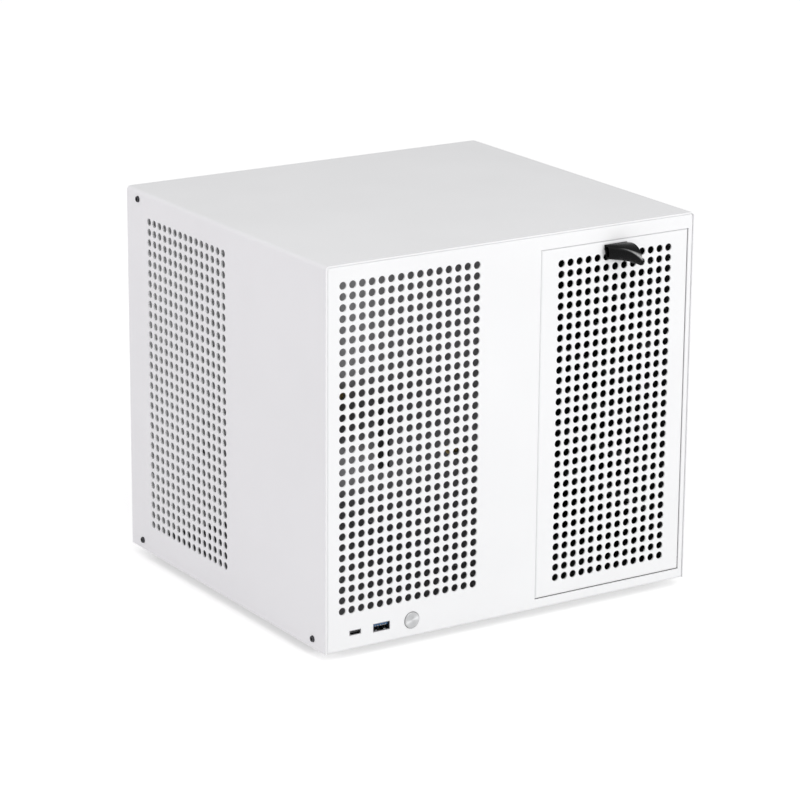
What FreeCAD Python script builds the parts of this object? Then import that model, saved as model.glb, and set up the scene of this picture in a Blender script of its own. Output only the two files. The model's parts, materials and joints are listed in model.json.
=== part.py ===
"""Network-storage computer case of folded white sheet steel, as a parametric FreeCAD document.

Case frame: X to the right as seen from the front, Y to the back, Z up. Pieces are drawn in the case's own
coordinates, where x = 0 is the middle of the case, y = 0 the outside of the front panel and z = 0 the
underside of the panels, and are then placed so that the origin is below the middle of the whole object.
"""
import FreeCAD, Part
import math
import os
import re
import Sketcher

VECTOR = FreeCAD.Vector

# Driving dimensions: name, value (millimetres, degrees or a count), what it measures
SIZES = (
    ("case_width", 299, "outside of the cover, left to right"),
    ("case_height", 268, "underside of the panels to the top of the cover"),
    ("case_depth", 272, "front panel to rear panel, outside"),
    ("sheet", 1.0, "thickness of every steel sheet"),
    ("panel_fit", 0.15, "gap between sheets that slide past each other"),
    ("cover_bend", 3.0, "outside radius of the cover's two bends"),
    ("panel_bend", 1.6, "outside radius of the other bends"),
    ("panel_flange", 22, "depth of the front and rear panels' flanges"),
    ("pan_flange", 14, "height of the floor pan's side flanges"),
    ("hole_pitch", 7.5, "spacing of the perforation, both ways"),
    ("hole_diameter", 5.4, "perforation"),
    ("field_columns", 15, "columns of holes in the front and side fields"),
    ("field_rows", 31, "rows of holes in every field"),
    ("field_left", 13.1, "left edge of the case to the first column of the front field"),
    ("field_top", 14.4, "top of the case to the first row of the front field"),
    ("side_field_back", 32.5, "back edge of the case to the last column of the side field"),
    ("side_field_top", 20.1, "top of the case to the first row of the side field"),
    ("door_width", 123.4, "outside"),
    ("door_height", 249, "outside"),
    ("door_depth", 9, "face to the back edge of the door's flanges"),
    ("door_right", 5.4, "right edge of the case to the door"),
    ("door_low", 7.6, "underside of the panels to the door"),
    ("door_gap", 0.35, "between the door and its opening"),
    ("door_columns", 13, "columns of holes in the door"),
    ("door_field_top", 11.1, "top of the door to its first row of holes"),
    ("strap_width", 18.6, "pull strap"),
    ("strap_thick", 1.6, "one layer of the pull strap"),
    ("strap_reach", 22, "loop in front of the door"),
    ("strap_loop_radius", 5, "outside of the loop at its front"),
    ("strap_droop", 2.5, "how far the front of the loop hangs below the slot"),
    ("strap_drop", 4.4, "top of the door to the middle of the strap's slot"),
    ("strap_slack", 0.4, "strap to the edges of its slot"),
    ("strap_hem_radius", 2.8, "hem round the retaining pin"),
    ("strap_pin_diameter", 2.4, "retaining pin"),
    ("strap_pin_length", 26, "retaining pin"),
    ("magnet_diameter", 8, "door magnet"),
    ("magnet_gap", 0.2, "magnet to the door's inner face"),
    ("magnet_rise", 14, "top or bottom of the door to the middle of a magnet"),
    ("port_height", 11.9, "middle of the ports and the button above the panels' underside"),
    ("usb_c_place", 23.4, "left edge of the case to the middle of the USB-C socket"),
    ("usb_a_place", 44.2, "left edge of the case to the middle of the USB-A socket"),
    ("button_place", 68.5, "left edge of the case to the middle of the button"),
    ("usb_a_width", 13.1, "outside of the shell"),
    ("usb_a_height", 5.7, "outside of the shell"),
    ("usb_a_length", 14, "shell"),
    ("usb_c_width", 8.9, "outside of the shell"),
    ("usb_c_height", 3.2, "outside of the shell"),
    ("usb_c_length", 9, "shell"),
    ("usb_wall", 0.3, "thickness of the sockets' shells"),
    ("usb_gap", 0.2, "shell to the edges of its cut-out"),
    ("usb_inset", 0.2, "front panel's face to the mouth of the sockets"),
    ("usb_a_tongue", 1.9, "thickness of the tongue"),
    ("usb_c_tongue", 0.7, "thickness of the tongue"),
    ("tongue_side_gap", 0.7, "side of a tongue to its shell"),
    ("tongue_inset", 1.2, "mouth of a socket to its tongue"),
    ("socket_back", 3.5, "thickness of the insulators' back walls"),
    ("board_thick", 1.6, "circuit boards"),
    ("io_board_margin", 6, "sockets to the sides of the front port board"),
    ("io_board_depth", 20, "front port board"),
    ("spacer_diameter", 5, "front port board's spacers"),
    ("button_diameter", 11.6, "cap"),
    ("button_gap", 0.3, "cap to its hole"),
    ("button_proud", 0.8, "cap in front of the panel"),
    ("button_length", 5, "cap, face to shoulder"),
    ("button_chamfer", 0.5, "edge of the cap"),
    ("button_stem", 4, "diameter of the cap's stem"),
    ("button_stem_length", 6, "cap's stem"),
    ("button_travel", 1.6, "cap"),
    ("switch_housing_diameter", 17, "behind the panel"),
    ("switch_housing_wall", 1.5, "back wall of the switch housing"),
    ("switch_size", 6, "square switch body"),
    ("switch_depth", 4, "square switch body"),
    ("bay_count", 8, "drive bays"),
    ("bay_pitch", 29.5, "spacing of the drive bays"),
    ("bay_width", 104, "between the cage walls"),
    ("bay_low", 15, "top of the lowest ledge above the panels' underside"),
    ("cage_depth", 166, "cage walls, front to back"),
    ("ledge_width", 7, "how far a ledge stands in from its wall"),
    ("ledge_length", 128, "ledge, front to back"),
    ("ledge_inset", 14, "front of the cage to the front of a ledge"),
    ("backplane_margin", 4, "backplane to the top and bottom of the cage walls"),
    ("socket_width", 42, "drive socket on the backplane"),
    ("socket_height", 6, "drive socket on the backplane"),
    ("socket_depth", 8, "drive socket on the backplane"),
    ("socket_side", 14, "middle of a bay to the middle of its socket"),
    ("socket_rise", 2, "ledge to the underside of the socket"),
    ("vent_width", 76, "vent slot in the backplane"),
    ("vent_height", 9, "vent slot in the backplane"),
    ("vent_rise", 14, "ledge to the underside of the vent slot"),
    ("power_socket_width", 22, "power socket on the back of the backplane"),
    ("power_socket_height", 8, "power socket on the back of the backplane"),
    ("power_socket_depth", 11, "power socket on the back of the backplane"),
    ("tray_flange", 14, "foot of the motherboard tray"),
    ("cable_slot_depth", 14, "cable slot in the motherboard tray, front to back"),
    ("cable_slot_height", 48, "cable slot in the motherboard tray"),
    ("cable_slot_back", 66.5, "rear panel's face to the cable slot"),
    ("cable_slot_low", 51, "underside of the panels to the cable slot"),
    ("standoff_height", 6.5, "motherboard standoff"),
    ("standoff_diameter", 6, "motherboard standoff"),
    ("thread_diameter", 2.9, "bore of a standoff"),
    ("board_hole_depth", 154.94, "motherboard holes, front to back"),
    ("board_hole_height", 157.48, "motherboard holes, up and down"),
    ("board_hole_back", 16, "rear panel's face to the rear motherboard holes"),
    ("board_hole_top", 20, "top of the case to the upper motherboard holes"),
    ("io_width", 44.5, "rear I/O opening"),
    ("io_height", 158.8, "rear I/O opening"),
    ("io_top", 14, "top of the case to the rear I/O opening"),
    ("io_side", 8, "motherboard tray to the rear I/O opening"),
    ("slot_pitch", 20.32, "expansion slots"),
    ("slot_drop", 13, "rear I/O opening to the middle of the first slot"),
    ("slot_length", 100, "opening of an expansion slot"),
    ("slot_height", 13, "opening of an expansion slot"),
    ("slot_cover_lap", 3, "slot cover beyond the opening, above and below"),
    ("slot_cover_end", 8, "slot cover beyond the opening at its ends"),
    ("psu_width", 70, "opening for the power supply"),
    ("psu_height", 36, "opening for the power supply"),
    ("psu_left", 91.5, "left edge of the case to that opening"),
    ("psu_low", 9, "underside of the panels to that opening"),
    ("psu_hole_gap", 4, "edge of that opening to its screw holes"),
    ("psu_hole_diameter", 3.6, "screw holes of the power supply"),
    ("fan_size", 120, "side of a fan"),
    ("fan_depth", 25, "fan"),
    ("fan_bore", 116, "air passage of a fan"),
    ("fan_corner", 5, "radius of a fan's corners"),
    ("fan_plate", 3.5, "a fan frame's two end plates"),
    ("fan_ring", 122, "outside of the ring between a fan's end plates"),
    ("fan_hole_spacing", 105, "screw holes of a fan"),
    ("fan_hole_diameter", 4.4, "screw holes of a fan"),
    ("fan_gap", 1, "between the two fans"),
    ("fan_opening", 114, "opening in the rear panel"),
    ("fan_base_diameter", 40, "motor base on the frame"),
    ("fan_base_depth", 4, "motor base and struts"),
    ("fan_strut_width", 5, "strut"),
    ("bearing_diameter", 9, "bearing tube"),
    ("bearing_length", 14, "bearing tube in front of the motor base"),
    ("shaft_diameter", 3, "rotor shaft"),
    ("shaft_clearance", 0.05, "shaft to its bearing and to the rotor, all round"),
    ("hub_diameter", 38, "rotor hub"),
    ("hub_depth", 18, "rotor hub"),
    ("hub_wall", 2.5, "rotor hub"),
    ("hub_gap", 1, "rotor hub to the motor base"),
    ("hub_boss_length", 2.5, "boss that holds the shaft, behind the hub's face"),
    ("blade_count", 9, "blades"),
    ("blade_thick", 1.6, "blade"),
    ("blade_root_chord", 22, "blade"),
    ("blade_tip_chord", 30, "blade"),
    ("blade_root_pitch", 40, "degrees from the plane of rotation"),
    ("blade_tip_pitch", 26, "degrees from the plane of rotation"),
    ("blade_tip_gap", 1, "corner of a blade's tip to the frame"),
    ("guard_wire", 1.6, "wire of a fan guard"),
    ("guard_rings", 4, "rings of a fan guard"),
    ("guard_ring_step", 13, "spacing of the rings"),
    ("guard_outer_radius", 55, "largest ring, to the middle of its wire"),
    ("guard_weld", 0.3, "how far crossing wires are welded into each other"),
    ("screw_diameter", 2.5, "screws"),
    ("screw_clearance", 0.2, "screw to its hole, all round"),
    ("screw_head", 4.7, "diameter of a screw's head"),
    ("screw_head_height", 1.2, "screw's head"),
    ("screw_length", 7, "screw under its head"),
    ("screw_crown", 0.84, "top of a screw's head as a share of its diameter"),
    ("screw_socket", 0.52, "hexagon socket across its corners, as a share of the head's diameter"),
    ("screw_socket_floor", 0.4, "head left under the socket"),
    ("cover_screw_end", 16.5, "front or back edge of the cover to a screw"),
    ("cover_screw_low", 6.6, "underside of the panels to a screw"),
    ("cover_screw_top", 6.6, "top of the cover to a screw"),
    ("fan_screw_diameter", 4, "fan screws"),
    ("fan_screw_head", 7.2, "diameter of a fan screw's head"),
    ("fan_screw_length", 9, "fan screw under its head"),
    ("foot_diameter", 18, "rubber foot"),
    ("foot_height", 6, "rubber foot"),
    ("foot_taper", 1.5, "how much narrower a foot is at the floor, all round"),
    ("foot_inset", 34, "edges of the case to the middle of a foot"),
    ("foot_recess", 3, "depth of the screw's recess in a foot"),
)
ALIASES = {name for name, _, _ in SIZES}

# Places that follow from the driving dimensions, in the case's own coordinates
INNER_SIDE = "(case_width / 2 - sheet - panel_fit)"
INNER_TOP = "(case_height - sheet - panel_fit)"
FLOOR = "(2 * sheet)"
UNDER_FLANGES = f"({INNER_TOP} - sheet - panel_fit)"
DOOR_X = "(case_width / 2 - door_right - door_width / 2)"
DOOR_TOP = "(door_low + door_height)"
STRAP_Z = f"({DOOR_TOP} - strap_drop)"
CAGE_FLANGE = "((door_width - bay_width) / 2)"
CAGE_BACK = "(door_depth + cage_depth)"
TRAY_FACE = f"({DOOR_X} - door_width / 2 - sheet)"
REAR_INSIDE = "(case_depth - sheet)"
FAN_MIDDLE = f"((2 * sheet + {INNER_TOP}) / 2)"
SLOT_COVER_LEFT = f"({TRAY_FACE} - io_side - slot_length - slot_cover_end)"
REAR_REACH = "(guard_wire + screw_head_height)"
FRONT_Y = f"((strap_reach - {REAR_REACH} - case_depth) / 2)"
HOLE_RADIUS = "(screw_diameter / 2 + screw_clearance)"
FAN_HOLE_RADIUS = "(fan_screw_diameter / 2 + screw_clearance)"

doc = FreeCAD.newDocument("nas_case")
sheet = doc.addObject("Spreadsheet::Sheet", "Sizes")
for row, (name, number, note) in enumerate(SIZES, start=1):
    sheet.set(f"A{row}", str(number))
    sheet.setAlias(f"A{row}", name)
    sheet.set(f"B{row}", note)
doc.recompute()

parts = []


def value(expression):
    """The number that an expression of sizes comes to."""
    found = sheet.evalExpression(str(expression))
    return float(getattr(found, "Value", found))


def count(name):
    return int(round(value(name)))


def bound(expression):
    """An expression of sizes, written for an object other than the sheet."""
    return re.sub(r"[a-z_]+[a-z_0-9]*", lambda word: f"Sizes.{word[0]}" if word[0] in ALIASES else word[0],
                  str(expression))


def bind(thing, **expressions):
    for name, expression in expressions.items():
        thing.setExpression(name, bound(expression))


def place(thing, x, y, z):
    """Put an object at a point of the case, given in the case's own coordinates."""
    thing.setExpression("Placement.Base.x", bound(x))
    thing.setExpression("Placement.Base.y", bound(f"{FRONT_Y} + {y}"))
    thing.setExpression("Placement.Base.z", bound(f"foot_height + {z}"))


def part(thing, label):
    """Name an object as a sub-part of the case."""
    thing.Label = label
    parts.append(thing)
    return thing


# Primitives and booleans

TURNS = {
    "+x": FreeCAD.Rotation(VECTOR(0, 0, 1), VECTOR(1, 0, 0)),
    "-x": FreeCAD.Rotation(VECTOR(0, 0, 1), VECTOR(-1, 0, 0)),
    "+y": FreeCAD.Rotation(VECTOR(0, 0, 1), VECTOR(0, 1, 0)),
    "-y": FreeCAD.Rotation(VECTOR(0, 0, 1), VECTOR(0, -1, 0)),
    "+z": FreeCAD.Rotation(),
    "-z": FreeCAD.Rotation(VECTOR(0, 0, 1), VECTOR(0, 0, -1)),
}


def box(name, x, y, z):
    """A block between two places along each axis."""
    block = doc.addObject("Part::Box", name)
    bind(block, Length=f"({x[1]}) - ({x[0]})", Width=f"({y[1]}) - ({y[0]})", Height=f"({z[1]}) - ({z[0]})")
    place(block, x[0], y[0], z[0])
    return block


def rod(name, at, direction, radius, length):
    """A cylinder that starts at a point and runs in a direction."""
    cylinder = doc.addObject("Part::Cylinder", name)
    bind(cylinder, Radius=radius, Height=length)
    cylinder.Placement = FreeCAD.Placement(VECTOR(), TURNS[direction])
    place(cylinder, *at)
    return cylinder


def tapered(name, at, direction, radius, end_radius, length):
    """A cone frustum that starts at a point and runs in a direction."""
    cone = doc.addObject("Part::Cone", name)
    bind(cone, Radius1=radius, Radius2=end_radius, Height=length)
    cone.Placement = FreeCAD.Placement(VECTOR(), TURNS[direction])
    place(cone, *at)
    return cone


def hexagon(name, at, direction, radius, length):
    """A six-sided bar that starts at a point and runs in a direction."""
    bar = doc.addObject("Part::Prism", name)
    bar.Polygon = 6
    bind(bar, Circumradius=radius, Height=length)
    bar.Placement = FreeCAD.Placement(VECTOR(), TURNS[direction])
    place(bar, *at)
    return bar


def moved(at, direction, distance):
    """A point moved by a distance in a direction."""
    sign, axis = direction
    return tuple(f"{there} {sign} ({distance})" if name == axis else there for name, there in zip("xyz", at))


def fuse(name, shapes):
    joined = doc.addObject("Part::MultiFuse", name)
    joined.Shapes = shapes
    joined.Refine = True
    return joined


def cut(name, base, tools):
    rest = doc.addObject("Part::Cut", name)
    rest.Base = base
    rest.Tool = tools[0] if len(tools) == 1 else group(f"{name}_tools", tools)
    return rest


def group(name, shapes):
    """Separate solids kept together."""
    together = doc.addObject("Part::Compound", name)
    together.Links = shapes
    return together


def screw(name, at, direction, kind="screw"):
    """A socket screw whose head sits at a point and whose shank runs in a direction."""
    head_way = {"+": "-", "-": "+"}[direction[0]] + direction[1]
    head = tapered(f"{name}_head", at, head_way, f"{kind}_head / 2", f"{kind}_head / 2 * screw_crown",
                   "screw_head_height")
    shank = rod(f"{name}_shank", at, direction, f"{kind}_diameter / 2", f"{kind}_length")
    socket = hexagon(f"{name}_socket", moved(at, head_way, "screw_socket_floor"), head_way,
                     f"{kind}_head / 2 * screw_socket", "screw_head_height")
    return cut(name, fuse(f"{name}_blank", [head, shank]), [socket])


# Sketches and features of bodies

PLANES = {"x": "YZ_Plane", "y": "XZ_Plane", "z": "XY_Plane"}
PLANE_SIGN = {"x": 1, "y": -1, "z": 1}


def body(label, at=("0", "0", "0")):
    thing = part(doc.addObject("PartDesign::Body", label), label)
    place(thing, *at)
    return thing


def sketch(owner, name, axis, offset="0"):
    """An empty sketch across an axis, at a place along it. Across y its own axes are x and z."""
    drawn = owner.newObject("Sketcher::SketchObject", name)
    plane = next(f for f in owner.Origin.OriginFeatures if f.Role == PLANES[axis])
    drawn.AttachmentSupport = [(plane, "")]
    drawn.MapMode = "FlatFace"
    drawn.setExpression("AttachmentOffset.Base.z", bound(f"{PLANE_SIGN[axis]} * ({offset})"))
    return drawn


def hold(drawn, kind, where, expression):
    """A dimension of a sketch that follows the sizes."""
    number = drawn.addConstraint(Sketcher.Constraint(kind, *where, value(expression)))
    drawn.setExpression(f"Constraints[{number}]", bound(expression))


def polygon(drawn, corners):
    """A closed outline of straight lines through corners given as pairs of expressions."""
    points = [VECTOR(value(a), value(b), 0) for a, b in corners]
    first = drawn.GeometryCount
    for here, there in zip(points, points[1:] + points[:1]):
        drawn.addGeometry(Part.LineSegment(here, there), False)
    for n, (a, b) in enumerate(corners):
        after = first + (n + 1) % len(corners)
        drawn.addConstraint(Sketcher.Constraint("Coincident", first + n, 2, after, 1))
        hold(drawn, "DistanceX", (-1, 1, first + n, 1), a)
        hold(drawn, "DistanceY", (-1, 1, first + n, 1), b)


def rectangle(drawn, across, up):
    polygon(drawn, [(across[0], up[0]), (across[1], up[0]), (across[1], up[1]), (across[0], up[1])])


def circle(drawn, radius, centre=None):
    """A circle, at the sketch's origin if no centre is given."""
    middle = VECTOR(value(centre[0]), value(centre[1]), 0) if centre else VECTOR()
    number = drawn.addGeometry(Part.Circle(middle, VECTOR(0, 0, 1), value(radius)), False)
    if centre:
        hold(drawn, "DistanceX", (-1, 1, number, 3), centre[0])
        hold(drawn, "DistanceY", (-1, 1, number, 3), centre[1])
    else:
        drawn.addConstraint(Sketcher.Constraint("Coincident", number, 3, -1, 1))
    hold(drawn, "Radius", (number,), radius)


def pad(owner, name, profile, length, backwards=False):
    feature = owner.newObject("PartDesign::Pad", name)
    feature.Profile = profile
    feature.Reversed = backwards
    bind(feature, Length=length)
    doc.recompute()
    return feature


def pocket(owner, name, profile, depth):
    """Cut a profile half its depth to both sides of its plane, and see that it cuts."""
    before = owner.Tip.Shape.Volume
    feature = owner.newObject("PartDesign::Pocket", name)
    feature.Profile = profile
    feature.Midplane = True
    bind(feature, Length=depth)
    doc.recompute()
    if feature.Shape.Volume >= before:
        raise RuntimeError(f"{owner.Label}: {name} cuts nothing")
    return feature


def linear_copies(name, drawn, axis, copies, spacing, backwards=False):
    """A row of copies along one of a sketch's axes."""
    row = doc.addObject("PartDesign::LinearPattern", name)
    row.Direction = (drawn, [axis])
    row.Reversed = backwards
    bind(row, Length=f"({spacing}) * ({copies} - 1)", Occurrences=copies)
    return row


def grid(owner, name, feature, drawn, columns, rows):
    """Repeat a feature over a perforated field, to the right and downwards."""
    field = owner.newObject("PartDesign::MultiTransform", name)
    field.Originals = [feature]
    field.Transformations = [
        linear_copies(f"{name}_columns", drawn, "H_Axis", columns, "hole_pitch"),
        linear_copies(f"{name}_rows", drawn, "V_Axis", rows, "hole_pitch", backwards=True),
    ]
    owner.Tip = field
    doc.recompute()
    return field


def stack(owner, name, feature, drawn):
    """Repeat a feature once for each drive bay, upwards."""
    row = owner.newObject("PartDesign::LinearPattern", name)
    row.Originals = [feature]
    row.Direction = (drawn, ["V_Axis"])
    bind(row, Length="bay_pitch * (bay_count - 1)", Occurrences="bay_count")
    owner.Tip = row
    doc.recompute()
    return row


def around(owner, name, feature, drawn, copies):
    """Repeat a feature round the axis of a sketch."""
    ring = owner.newObject("PartDesign::PolarPattern", name)
    ring.Originals = [feature]
    ring.Axis = (drawn, ["N_Axis"])
    ring.Angle = 360
    bind(ring, Occurrences=copies)
    owner.Tip = ring
    doc.recompute()
    return ring


SIDES = {
    "-x": ("XMin", VECTOR(-1, 0, 0)), "+x": ("XMax", VECTOR(1, 0, 0)),
    "-y": ("YMin", VECTOR(0, -1, 0)), "+y": ("YMax", VECTOR(0, 1, 0)),
    "-z": ("ZMin", VECTOR(0, 0, -1)), "+z": ("ZMax", VECTOR(0, 0, 1)),
}
NEAR = 1e-4


def on_side(shape, point, side):
    """Whether a point lies on one side of a shape's bounding box."""
    limit, way = SIDES[side]
    return abs(point.dot(VECTOR(abs(way.x), abs(way.y), abs(way.z))) - getattr(shape.BoundBox, limit)) < NEAR


def edges_between(shape, pairs):
    """Names of the edges that lie on both sides of each pair."""
    return [f"Edge{n}" for n, edge in enumerate(shape.Edges, start=1)
            if any(all(on_side(shape, end.Point, side) for end in edge.Vertexes for side in pair)
                   for pair in pairs)]


def faces_on(shape, sides):
    """Names of the flat faces that lie on the given sides."""
    return [f"Face{n}" for n, face in enumerate(shape.Faces, start=1)
            if any(all(on_side(shape, v.Point, side) for v in face.Vertexes) for side in sides)]


def rounded(owner, name, base, pairs, radius):
    """Round the edges of a feature that lie on both sides of each pair."""
    rounds = owner.newObject("PartDesign::Fillet", name)
    rounds.Base = (base, edges_between(base.Shape, pairs))
    bind(rounds, Radius=radius)
    doc.recompute()
    return rounds


def folded(label, x, y, z, bends, opened, radius="panel_bend", wall="sheet", corners=()):
    """A folded sheet: a block with rounded edges, hollowed to one wall through the sides that are open.

    Corners that have to clear the inside of the cover's bends are rounded first.
    """
    thing = body(label)
    outline = sketch(thing, f"{label}_outline", "z", z[0])
    rectangle(outline, x, y)
    block = pad(thing, f"{label}_block", outline, f"({z[1]}) - ({z[0]})")
    if corners:
        block = rounded(thing, f"{label}_corners", block, corners, "cover_bend - sheet")
    rounds = rounded(thing, f"{label}_bends", block, bends, radius)
    hollow = thing.newObject("PartDesign::Thickness", f"{label}_wall")
    hollow.Base = (rounds, faces_on(rounds.Shape, opened))
    hollow.Reversed = True
    bind(hollow, Value=wall)
    doc.recompute()
    return thing


def rectangle_cut(owner, name, axis, offset, across, up, depth="3 * sheet"):
    drawn = sketch(owner, f"{name}_outline", axis, offset)
    rectangle(drawn, across, up)
    return pocket(owner, name, drawn, depth), drawn


def circle_cut(owner, name, axis, offset, radius, centres, depth="3 * sheet"):
    drawn = sketch(owner, f"{name}_outline", axis, offset)
    for centre in centres:
        circle(drawn, radius, centre)
    return pocket(owner, name, drawn, depth), drawn


def perforate(owner, name, axis, offset, first, columns):
    """A field of round holes from its top left hole."""
    hole, drawn = circle_cut(owner, f"{name}_hole", axis, offset, "hole_diameter / 2", [first])
    grid(owner, name, hole, drawn, columns, "field_rows")


def ring_of(side):
    """All the edges round one side of a block."""
    return [(side, side)]


# Cover: top and both sides in one folded sheet, open below and at both ends

TOP_CORNERS = [("-x", "+z"), ("+x", "+z")]
COVER_SCREWS = (
    ("cover_screw_end", "cover_screw_low"),
    ("case_depth - cover_screw_end", "cover_screw_low"),
    ("case_depth - cover_screw_end", "case_height - cover_screw_top"),
)


def make_cover():
    cover = folded("outer_cover", ("-case_width / 2", "case_width / 2"), ("0", "case_depth"),
                   ("0", "case_height"), TOP_CORNERS, ["-z", "-y", "+y"], radius="cover_bend")
    for side, name in (("-case_width / 2", "left"), ("case_width / 2", "right")):
        circle_cut(cover, f"cover_screw_holes_{name}", "x", side, HOLE_RADIUS, COVER_SCREWS)
    first = ("case_depth - side_field_back - hole_pitch * (field_columns - 1)",
             "case_height - side_field_top")
    perforate(cover, "side_field", "x", "-case_width / 2", first, "field_columns")


# Front panel: a shallow pan with four flanges, inside the front edge of the cover

BUTTON_X = "(button_place - case_width / 2)"
USB_A_X = "(usb_a_place - case_width / 2)"
USB_C_X = "(usb_c_place - case_width / 2)"


def make_front_panel():
    panel = folded("front_panel", (f"-{INNER_SIDE}", INNER_SIDE), ("0", "panel_flange"), ("0", INNER_TOP),
                   ring_of("-y"), ["+y"], corners=TOP_CORNERS)
    rectangle_cut(panel, "door_opening", "y", "0",
                  (f"{DOOR_X} - door_width / 2 - door_gap", f"{DOOR_X} + door_width / 2 + door_gap"),
                  ("door_low - door_gap", f"{DOOR_TOP} + door_gap"))
    for name, middle in (("usb_a", USB_A_X), ("usb_c", USB_C_X)):
        half = f"({name}_width / 2 + usb_gap)"
        rise = f"({name}_height / 2 + usb_gap)"
        rectangle_cut(panel, f"{name}_cutout", "y", "0", (f"{middle} - {half}", f"{middle} + {half}"),
                      (f"port_height - {rise}", f"port_height + {rise}"))
    circle_cut(panel, "button_hole", "y", "0", "button_diameter / 2 + button_gap",
               [(BUTTON_X, "port_height")])
    side_holes(panel, ["cover_screw_end"], ["cover_screw_low"])
    perforate(panel, "front_field", "y", "0",
              ("field_left - case_width / 2", "case_height - field_top"), "field_columns")


def side_holes(panel, depths, heights):
    """Holes for the cover's screws in both side flanges of a panel."""
    centres = [(y, z) for y in depths for z in heights]
    for side, name in ((f"-{INNER_SIDE}", "left"), (INNER_SIDE, "right")):
        circle_cut(panel, f"{panel.Label}_screw_holes_{name}", "x", side, HOLE_RADIUS, centres)


# Rear panel: the same pan turned round, with the openings of a computer's back

IO_RIGHT = f"({TRAY_FACE} - io_side)"
IO_LOW = "(case_height - io_top - io_height)"
PSU_MIDDLE = "(psu_left + psu_width / 2 - case_width / 2)"
FAN_HEIGHTS = {
    "upper": f"({FAN_MIDDLE} + (fan_size + fan_gap) / 2)",
    "lower": f"({FAN_MIDDLE} - (fan_size + fan_gap) / 2)",
}
SLOT_COUNT = 2
CORNERS = ((-1, -1), (1, -1), (-1, 1), (1, 1))


def slot_height(number):
    return f"({IO_LOW} - slot_drop - {number} * slot_pitch)"


def make_rear_panel():
    panel = folded("rear_panel", (f"-{INNER_SIDE}", INNER_SIDE), ("case_depth - panel_flange", "case_depth"),
                   ("0", INNER_TOP), ring_of("+y"), ["-y"], corners=TOP_CORNERS)
    rectangle_cut(panel, "io_opening", "y", "case_depth", (f"{IO_RIGHT} - io_width", IO_RIGHT),
                  (IO_LOW, f"{IO_LOW} + io_height"))
    for number in range(SLOT_COUNT):
        middle = slot_height(number)
        rectangle_cut(panel, f"slot_opening_{number + 1}", "y", "case_depth",
                      (f"{IO_RIGHT} - slot_length", IO_RIGHT),
                      (f"{middle} - slot_height / 2", f"{middle} + slot_height / 2"))
    rectangle_cut(panel, "psu_opening", "y", "case_depth",
                  (f"{PSU_MIDDLE} - psu_width / 2", f"{PSU_MIDDLE} + psu_width / 2"),
                  ("psu_low", "psu_low + psu_height"))
    psu_holes = [(f"{PSU_MIDDLE} + {way} * (psu_width / 2 + psu_hole_gap)", "psu_low + psu_height / 2")
                 for way in (-1, 1)]
    circle_cut(panel, "psu_holes", "y", "case_depth", "psu_hole_diameter / 2", psu_holes)
    for name, middle in FAN_HEIGHTS.items():
        circle_cut(panel, f"fan_opening_{name}", "y", "case_depth", "fan_opening / 2", [(DOOR_X, middle)])
    circle_cut(panel, "fan_screw_holes", "y", "case_depth", FAN_HOLE_RADIUS, fan_screw_places())
    circle_cut(panel, "slot_screw_holes", "y", "case_depth", HOLE_RADIUS,
               [(f"{SLOT_COVER_LEFT} + slot_cover_end / 2", slot_height(n)) for n in range(SLOT_COUNT)])
    side_holes(panel, ["case_depth - cover_screw_end"], ["cover_screw_low", "case_height - cover_screw_top"])


def fan_screw_places():
    return [(f"{DOOR_X} + {across} * fan_hole_spacing / 2", f"{middle} + {up} * fan_hole_spacing / 2")
            for middle in FAN_HEIGHTS.values() for across, up in CORNERS]


def make_slot_covers():
    covers = []
    for number in range(SLOT_COUNT):
        middle = slot_height(number)
        half = "(slot_height / 2 + slot_cover_lap)"
        blank = box(f"slot_cover_blank_{number + 1}", (SLOT_COVER_LEFT, f"{IO_RIGHT} + slot_cover_end / 2"),
                    (f"{REAR_INSIDE} - sheet", REAR_INSIDE), (f"{middle} - {half}", f"{middle} + {half}"))
        place_of_screw = (f"{SLOT_COVER_LEFT} + slot_cover_end / 2", f"{REAR_INSIDE} - 2 * sheet", middle)
        hole = rod(f"slot_cover_hole_{number + 1}", place_of_screw, "+y", HOLE_RADIUS, "3 * sheet")
        part(cut(f"slot_cover_{number + 1}", blank, [hole]), f"slot_cover_{number + 1}")
        covers.append(screw(f"slot_screw_{number + 1}", (place_of_screw[0], "case_depth", middle), "-y"))
    part(group("slot_cover_screws", covers), "slot_cover_screws")


# Floor pan: a channel between the front and rear panels, on their lower flanges

def cage_screw_places():
    """Two screws under each cage wall, front and back."""
    side = f"(bay_width / 2 + {CAGE_FLANGE} / 2)"
    ends = ("door_depth + cage_depth / 5", "door_depth + cage_depth * 4 / 5")
    return [(f"{DOOR_X} + {way} * {side}", y) for way in (-1, 1) for y in ends]


def foot_places():
    return [(f"{across} * (case_width / 2 - foot_inset)",
             f"case_depth / 2 + {along} * (case_depth / 2 - foot_inset)") for across, along in CORNERS]


def make_floor_pan():
    side = f"({INNER_SIDE} - sheet)"
    pan = folded("floor_pan", (f"-{side}", side), ("panel_bend", "case_depth - panel_bend"),
                 ("sheet", "sheet + pan_flange"), [("-x", "-z"), ("+x", "-z")], ["+z", "-y", "+y"])
    circle_cut(pan, "foot_screw_holes", "z", "sheet", HOLE_RADIUS, foot_places())
    circle_cut(pan, "cage_screw_holes", "z", "sheet", HOLE_RADIUS, cage_screw_places())
    for way, name in ((f"-{side}", "left"), (side, "right")):
        circle_cut(pan, f"pan_screw_holes_{name}", "x", way, HOLE_RADIUS, COVER_SCREWS[:2])


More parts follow.
